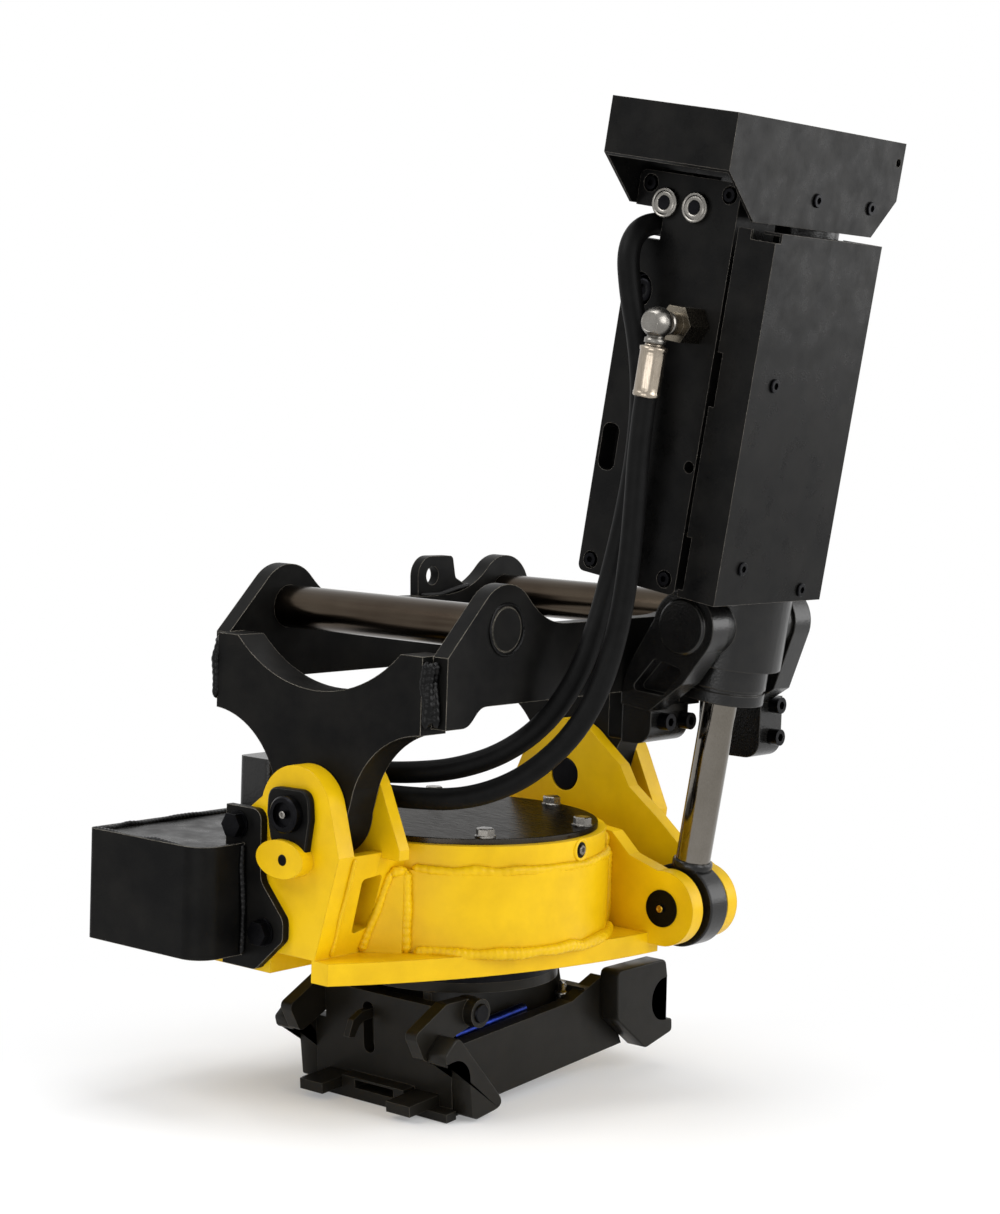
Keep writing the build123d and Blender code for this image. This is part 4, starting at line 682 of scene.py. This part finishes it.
# Grease nipples in the rod pin and in the front tilt pin, and a dark disc in the breather above it, as
# painted shade in its hole
FRONT = (0, -1, 0)
UPWARD = (0, 0, 1)
nipple = [(5.4, -0.5), (5.4, 1.0), (4.6, 1.9), (3.0, 2.1), (2.4, 1.0), (2.2, 0.2)]
vent_shade_profile = [(7.6, -2), (7.6, 0.3), (5.5, 0.6)]
rod_pin_face = [(mm((ROD_PIN_X, 317, ROD_PIN_Z)), FRONT)]
tilt_pin_face = [(mm((0, -195, -255)), FRONT)]
breather_face = [(mm((-1, -192, -316)), FRONT)]
turned_piece("rod_pin_nipple", rod_pin_face, nipple, brass, "housing", sides=24)
turned_piece("tilt_pin_nipple", tilt_pin_face, nipple, zinc, "housing", sides=24)
# A dark disc in the breather hole: painted shade where the hole is deep
turned_piece("vent_hole_shade", breather_face, vent_shade_profile, black_oxide, "housing", sides=32)

# Port with its plug on the upper ring of the drum; the dark floor inside its boss is painted shade in the
# recess
PORT_TURN = math.radians(4.1)
RING_R = 212
port_out = (math.cos(PORT_TURN), math.sin(PORT_TURN), 0)
port = [(mm((RING_R * port_out[0], DRUM_Y + RING_R * port_out[1], -315)), port_out)]
boss = [(17, -1), (16.4, 1.2), (14.4, 2.4), (12.6, 2.2), (11.4, 0.4), (11, 0.3)]
port_shade_floor = [(11.2, -1), (11.2, 0.5), (10.6, 0.6)]
drum_plug = [(7.5, -1), (7.5, 3.0), (6.4, 4.0), (3.8, 4.0), (3.6, 2.0)]
turned_piece("drum_port", port, boss, yellow_coat, "housing", sides=48)
# Dark disc at the bottom of the port: painted shade in the recess
turned_piece("drum_port_painted_shade", port, port_shade_floor, black_oxide, "housing", sides=48)
turned_piece("drum_plug", port, drum_plug, zinc, "housing", sides=HEXAGON)

# Hose fitting under the valve block, on the cylinder's own axes
FITTING_X, FITTING_Y = -14, -275
FERRULE_Z = 324
FERRULE_SIDES = 64
CRIMP_DIP, CRIMP_FLATS = 0.5, 8
DOWN = -cyl_way(0, 0, 1)


def crimped_ferrule():
    """A hose ferrule: a sleeve with collars whose radius dips by a squared sine at eight flats."""
    height = np.linspace(-10, 60, 50)
    turn = np.linspace(0, 2 * math.pi, FERRULE_SIDES, endpoint=False)
    collar = np.interp(height, [-10, -8.5, -4, -3, 50, 51.5, 56, 57, 60],
                       [16.4, 18.4, 18.4, 17.6, 17.6, 18.6, 18.6, 13.5, 12])
    pressed = np.interp(height, [-2, 2, 44, 48], [0, 1, 1, 0])
    flats = CRIMP_DIP * np.sin(CRIMP_FLATS / 2 * turn) ** 2
    radius = mm(collar[:, None] - pressed[:, None] * flats[None, :])
    side, up = cyl_way(1, 0, 0), cyl_way(0, 0, 1)
    ring = np.cos(turn)[None, :, None] * side + np.sin(turn)[None, :, None] * np.cross(up, side)
    middle = np.asarray(cyl_point(FITTING_X, FITTING_Y, FERRULE_Z)) + mm(height)[:, None, None] * up
    return middle + radius[:, :, None] * ring


join_grids("crimped_ferrule", [crimped_ferrule()], ferrule_metal, "cylinder",
           replaced="hose_ferrule")

# Forged elbow: a round body turned about the port's axis, with two rings, and a stem down to the ferrule
elbow_body = [
    (14, -1), (15.6, 0), (15.6, 5), (14.2, 6), (14.2, 8), (16.4, 9), (16.4, 12), (18.5, 14), (20.4, 19),
    (20.8, 24), (20.0, 30), (17.6, 35.5), (14.6, 39.5), (13.4, 41), (12.6, 41.4), (12.2, 40.8),
]
elbow_stem = [(12, 0), (12, 10), (14.5, 11), (14.5, 17), (12, 18), (12, 20)]
join_grids("forged_elbow", [
    turned(cyl_point(FITTING_X, -253, 412), FRONT, elbow_body, sides=64),
    turned(cyl_point(FITTING_X, FITTING_Y, 402), DOWN, elbow_stem, sides=48),
], zinc, "cylinder", replaced="hose_elbow")

# Port plugs: a broad collar, a groove and a raised middle, with a flat dark hexagon on it that paints the
# shaded hollow of its socket
plug = [(20.5, 0), (20.5, 5.6), (19.6, 6.9), (17.2, 7), (16.6, 6), (16, 7), (10, 7), (9.4, 6.4), (9.2, 3)]
plug_places = [(cyl_point(x, -195, 564), FRONT) for x in (-90, -40)]
turned_piece("collared_plugs", plug_places, plug, zinc, "cylinder", sides=56,
             replaced="port_plugs")
turned_piece("plug_socket_shade", plug_places, [(10.2, 6.9), (10.2, 7.2)],
             black_oxide, "cylinder", sides=HEXAGON)
side_port = [(cyl_point(-116, -163, 444), FRONT)]
for name, profile in (
        ("side_port_ring", [(24.6, 2), (24.6, 14), (23, 15), (19, 15), (18, 12)]),
        ("side_port_plug", [(17.5, 4), (17.5, 20), (16, 22), (7, 22), (6.4, 17)])):
    turned_piece(name, side_port, profile, black_oxide, "cylinder", sides=56)

# Rod eye, a ring that stays on the housing's pin, and the rod's end above it
eye_at = mm((ROD_PIN_X, TRUNNION_Y, ROD_PIN_Z))
eye_rim = [(57.4, 20), (58, 20), (59.4, 19.4), (60, 18), (60, 17.6)]
eye_ring = [(24, -20), *[(r, -h) for r, h in eye_rim], *eye_rim[::-1], (24, 20)]
rod_end = [(18.5, 36), (18.5, 44), (29, 54), (29, 64), (27.5, 66)]
turned_piece("rod_eye_ring", [(eye_at, (0, 1, 0))], eye_ring, cast_coat, "housing", sides=96,
             replaced="rod_eye")
turned_piece("rod_end", [(eye_at, -DOWN)], rod_end, cast_coat, "rod", sides=64)

# Cover bolts: hexagon heads on washers, six round the rim of the disc
BOLT_R = 184
COVER_Z = -292
washer = [(14.6, 0), (14.6, 2), (13.8, 2.6)]
bolt_head = [(13.2, 2), (13.2, 11.2), (11.8, 12.6), (6, 12.8)]
bolt_grids = []
for turn in np.radians(22 + 60 * np.arange(6)):
    place = mm((BOLT_R * math.cos(turn), DRUM_Y + BOLT_R * math.sin(turn), COVER_Z))
    bolt_grids.append(turned(place, UPWARD, washer, sides=36))
    bolt_grids.append(turned(place, UPWARD, bolt_head, sides=HEXAGON))
join_grids("cover_bolt_heads", bolt_grids, zinc, "housing",
           smooth=False, replaced="cover_bolts")

# Hooks of the hitch: outlines of y and z that end in the seat of a tool pin
HOOK_X, HOOK_HALF = 143.5, 16.5
TOOL_PIN_SPAN = 480
front_hook = rounded(
    [(30.3, -6), (33, -56), (45, -62), (108, -58), (17, 57), (8, 63), (-20, 43), (-17, 30)],
    [0.1, 4, 6, 14, 8, 8, 7, 0.1])
rear_hook = rounded(
    [(483, -31), (498, -35), (498, -54), (431, -64), (364, -4), (366, 69), (485, 60), (489, 30.6),
     (483, 30.6)],
    [0.1, 5, 8, 14, 12, 12, 12, 4, 0.1])
front_hook = np.concatenate([front_hook, seat_arc(0, start=118, end=2)])
rear_hook = np.concatenate([rear_hook, seat_arc(TOOL_PIN_SPAN, start=91, end=269)])
for name, outline in (("front_hooks", front_hook), ("rear_hooks", rear_hook)):
    hooks = [plate(outline, x - HOOK_HALF, x + HOOK_HALF, across_hitch) for x in (HOOK_X, -HOOK_X)]
    join_grids("rounded_" + name, hooks, black_hitch, "rotor", replaced=name)

# Lock plate of the front tilt pin, a flag with round corners
lock_outline = rounded(
    [(-40, -222), (33, -220), (37, -260), (30, -306), (-8, -306), (-34, -294), (-42, -258)],
    [22, 22, 16, 6, 8, 8, 16])
join_grids("lock_flag", [plate(lock_outline, near=170, far=182, place=across_front)],
           black_coat, "housing", replaced="tilt_lock_front")

# Sheet behind the window of the valve plate, and the lid of the motor guard, one sheet from wall to wall
backing = rounded([(-139, 186), (-99, 186), (-99, 270), (-139, 270)], [3, 3, 3, 3])
lid = rounded(
    [(-297, -254), (-118, -254), (-92, -228), (-84, -186), (-84, 44), (-297, 44)],
    [2, 24, 24, 4, 2, 2])
join_grids("window_backing", [plate(backing, near=160.5, far=163, place=across_cylinder, edge=0.5)],
           black_sheet, "cylinder")
join_grids("guard_lid", [plate(lid, near=-315, far=-309.2, place=lying, edge=1)],
           black_sheet, "housing")

# Hitch oil fitting on its shelf, the blue sleeve of the lock line, and the ends of the bracket pins
SLEEVE_RADIUS, SLEEVE_STEP = 0.008, 0.008
fitting = [
    (9, 0), (9, 6), (6.5, 6.6), (6.5, 9), (10.5, 10), (10.5, 17), (8, 18), (6, 19), (6, 27), (4.5, 28),
    (4.5, 33),
]
shelf = [(15, 0), (15.5, 1), (15.5, 7), (15, 8)]
turned_piece("oil_fitting", [(mm((92, 304, -571)), UPWARD)], fitting,
             zinc, "rotor", sides=24)
turned_piece("fitting_shelf", [(mm((92, 304, -579)), UPWARD)], shelf,
             black_hitch, "rotor", sides=32)
sleeve_line = along(mm([(91, 60, -580), (91, 130, -573), (91, 215, -565)]), SLEEVE_STEP)[0]
join_grids("lock_line_sleeve", [tube_points(sleeve_line, SLEEVE_RADIUS, sides=20, lean=(1, 0, 0))],
           blue_sleeve, "rotor")
bracket_pins = [(hitch_point(side * 143, 77, 77), (side, 0, 0)) for side in (1, -1)]
turned_piece("bracket_pin_ends", bracket_pins, [(13.5, -3), (13.5, 2), (12, 3.5)],
             black_oxide, "rotor", sides=40)

# Camera as fitted to the photograph: turns in degrees, lens in the photograph's pixels, place in metres
CAMERA_AZIMUTH, CAMERA_ELEVATION, CAMERA_ROLL = 39.46, 4.67, 2.0
FOCAL_PX, PHOTO_HEIGHT_PX = 2571, 1214
SENSOR_MM = 24
CAMERA_PLACE = (2.3531, -2.6162, 0.30575)
CAMERA_REACH = 50


def place_camera():
    """The camera that the photograph was taken with: where it stood, its turn and its lens."""
    az, el, roll = map(math.radians, (CAMERA_AZIMUTH, CAMERA_ELEVATION, CAMERA_ROLL))
    back = Vector((math.sin(az) * math.cos(el), -math.cos(az) * math.cos(el), math.sin(el)))
    right = Vector((math.cos(az), math.sin(az), 0))
    up = back.cross(right)
    x_axis = right * math.cos(roll) + up * math.sin(roll)
    y_axis = up * math.cos(roll) - right * math.sin(roll)
    camera = bpy.data.cameras.new("photo_camera")
    camera.sensor_fit = "VERTICAL"
    camera.sensor_height = SENSOR_MM
    camera.lens = FOCAL_PX / PHOTO_HEIGHT_PX * SENSOR_MM
    camera.clip_end = CAMERA_REACH
    holder = bpy.data.objects.new("photo_camera", camera)
    matrix = Matrix((x_axis, y_axis, back)).transposed().to_4x4()
    matrix.translation = Vector(CAMERA_PLACE)
    holder.matrix_world = matrix
    bpy.context.scene.collection.objects.link(holder)
    bpy.context.scene.camera = holder


# Lamps: name, place, aim, width and height in metres, power in watts
LAMPS = [
    ("key_left", (-1.2, -2.7, 2.9), (0, 0, -0.2), (2.0, 2.0), 85),
    ("fill_right", (3.5, 0.2, 1.3), (0.1, 0.1, -0.1), (1.8, 2.6), 65),
    ("low_front", (1.1, -3.2, -0.15), (0.1, 0, -0.6), (2.4, 0.9), 20),
    ("sheen_right", (2.7, 2.9, 0.9), (0.2, 0.1, 0.1), (2.2, 2.2), 48),
    ("top", (0.2, 0.4, 3.4), (0.1, 0.2, 0), (2.2, 2.2), 80),
]


def softbox(name, place, aim, size, power):
    """A wide soft lamp at a place, turned to an aim."""
    lamp = bpy.data.lights.new(name, "AREA")
    lamp.shape = "RECTANGLE"
    lamp.size, lamp.size_y = size
    lamp.energy = power
    holder = bpy.data.objects.new(name, lamp)
    holder.location = place
    holder.rotation_euler = (Vector(aim) - Vector(place)).to_track_quat("-Z", "Y").to_euler()
    bpy.context.scene.collection.objects.link(holder)


def looked_at(tree):
    """1 for a ray that looks at the background, straight, mirrored or through glass, and 0 for light."""
    rays = node(tree, "ShaderNodeLightPath")
    seen = node(tree, "ShaderNodeMath", {"operation": "MAXIMUM"}, {
        0: rays.outputs["Is Camera Ray"], 1: rays.outputs["Is Glossy Ray"]})
    seen = node(tree, "ShaderNodeMath", {"operation": "MAXIMUM"}, {
        0: seen.outputs[0], 1: rays.outputs["Is Transmission Ray"]})
    return seen.outputs[0]


place_camera()
for lamp_row in LAMPS:
    softbox(*lamp_row)

# World: white where it is looked at, and a dimmer cool light on the machine
WHITE = (1, 1, 1, 1)
world = bpy.data.worlds.new("studio")
bpy.context.scene.world = world
world.use_nodes = True
sky = world.node_tree
sky.nodes.clear()
ambient = node(sky, "ShaderNodeBackground", inputs={"Color": to_linear("#eef0f4"), "Strength": 0.42})
white = node(sky, "ShaderNodeBackground", inputs={"Color": WHITE, "Strength": 1.0})
mixed = node(sky, "ShaderNodeMixShader", inputs={
    0: looked_at(sky), 1: ambient.outputs[0], 2: white.outputs[0]})
node(sky, "ShaderNodeOutputWorld", inputs={"Surface": mixed.outputs[0]})

# Floor: matt and shaded under the machine, and fading to white away from it
FLOOR_DROP = 0.001
FLOOR_HALF = 9
FLOOR_LINES = 19
floor_material, tree, shader = new_material("matt_white_floor")
shader.inputs["Base Color"].default_value = to_linear("#f4f4f4")
shader.inputs["Roughness"].default_value = 0.9
shader.inputs["Specular IOR Level"].default_value = 0.0
flat_place = node(tree, "ShaderNodeVectorMath", {"operation": "MULTIPLY"}, {
    0: object_place(tree), 1: (1, 1, 0)})
distance = node(tree, "ShaderNodeVectorMath", {"operation": "LENGTH"}, {0: flat_place.outputs[0]})
far = node(tree, "ShaderNodeMapRange", {"interpolation_type": "SMOOTHSTEP"}, {
    "Value": distance.outputs["Value"], "From Min": 0.35, "From Max": 1.1, "To Min": 0.25, "To Max": 1.0})
seen_far = node(tree, "ShaderNodeMath", {"operation": "MULTIPLY"}, {0: far.outputs[0], 1: looked_at(tree)})
white_glow = node(tree, "ShaderNodeEmission", inputs={"Color": WHITE, "Strength": 1.0})
faded = node(tree, "ShaderNodeMixShader", inputs={
    0: seen_far.outputs[0], 1: shader.outputs[0], 2: white_glow.outputs[0]})
tree.links.new(faded.outputs[0], tree.get_output_node("ALL").inputs["Surface"])
reach = np.linspace(-FLOOR_HALF, FLOOR_HALF, FLOOR_LINES)
floor_x, floor_y = np.meshgrid(reach, reach, indexing="ij")
floor_z = np.full_like(floor_x, cad_low[2] - FLOOR_DROP)
floor_points = np.stack([floor_x, floor_y, floor_z], -1).reshape(-1, 3)
floor_faces = grid_faces(FLOOR_LINES, FLOOR_LINES, closed=False)
place_mesh(make_mesh("floor", floor_points, floor_faces, floor_material))

bpy.context.scene.view_settings.view_transform = "Standard"
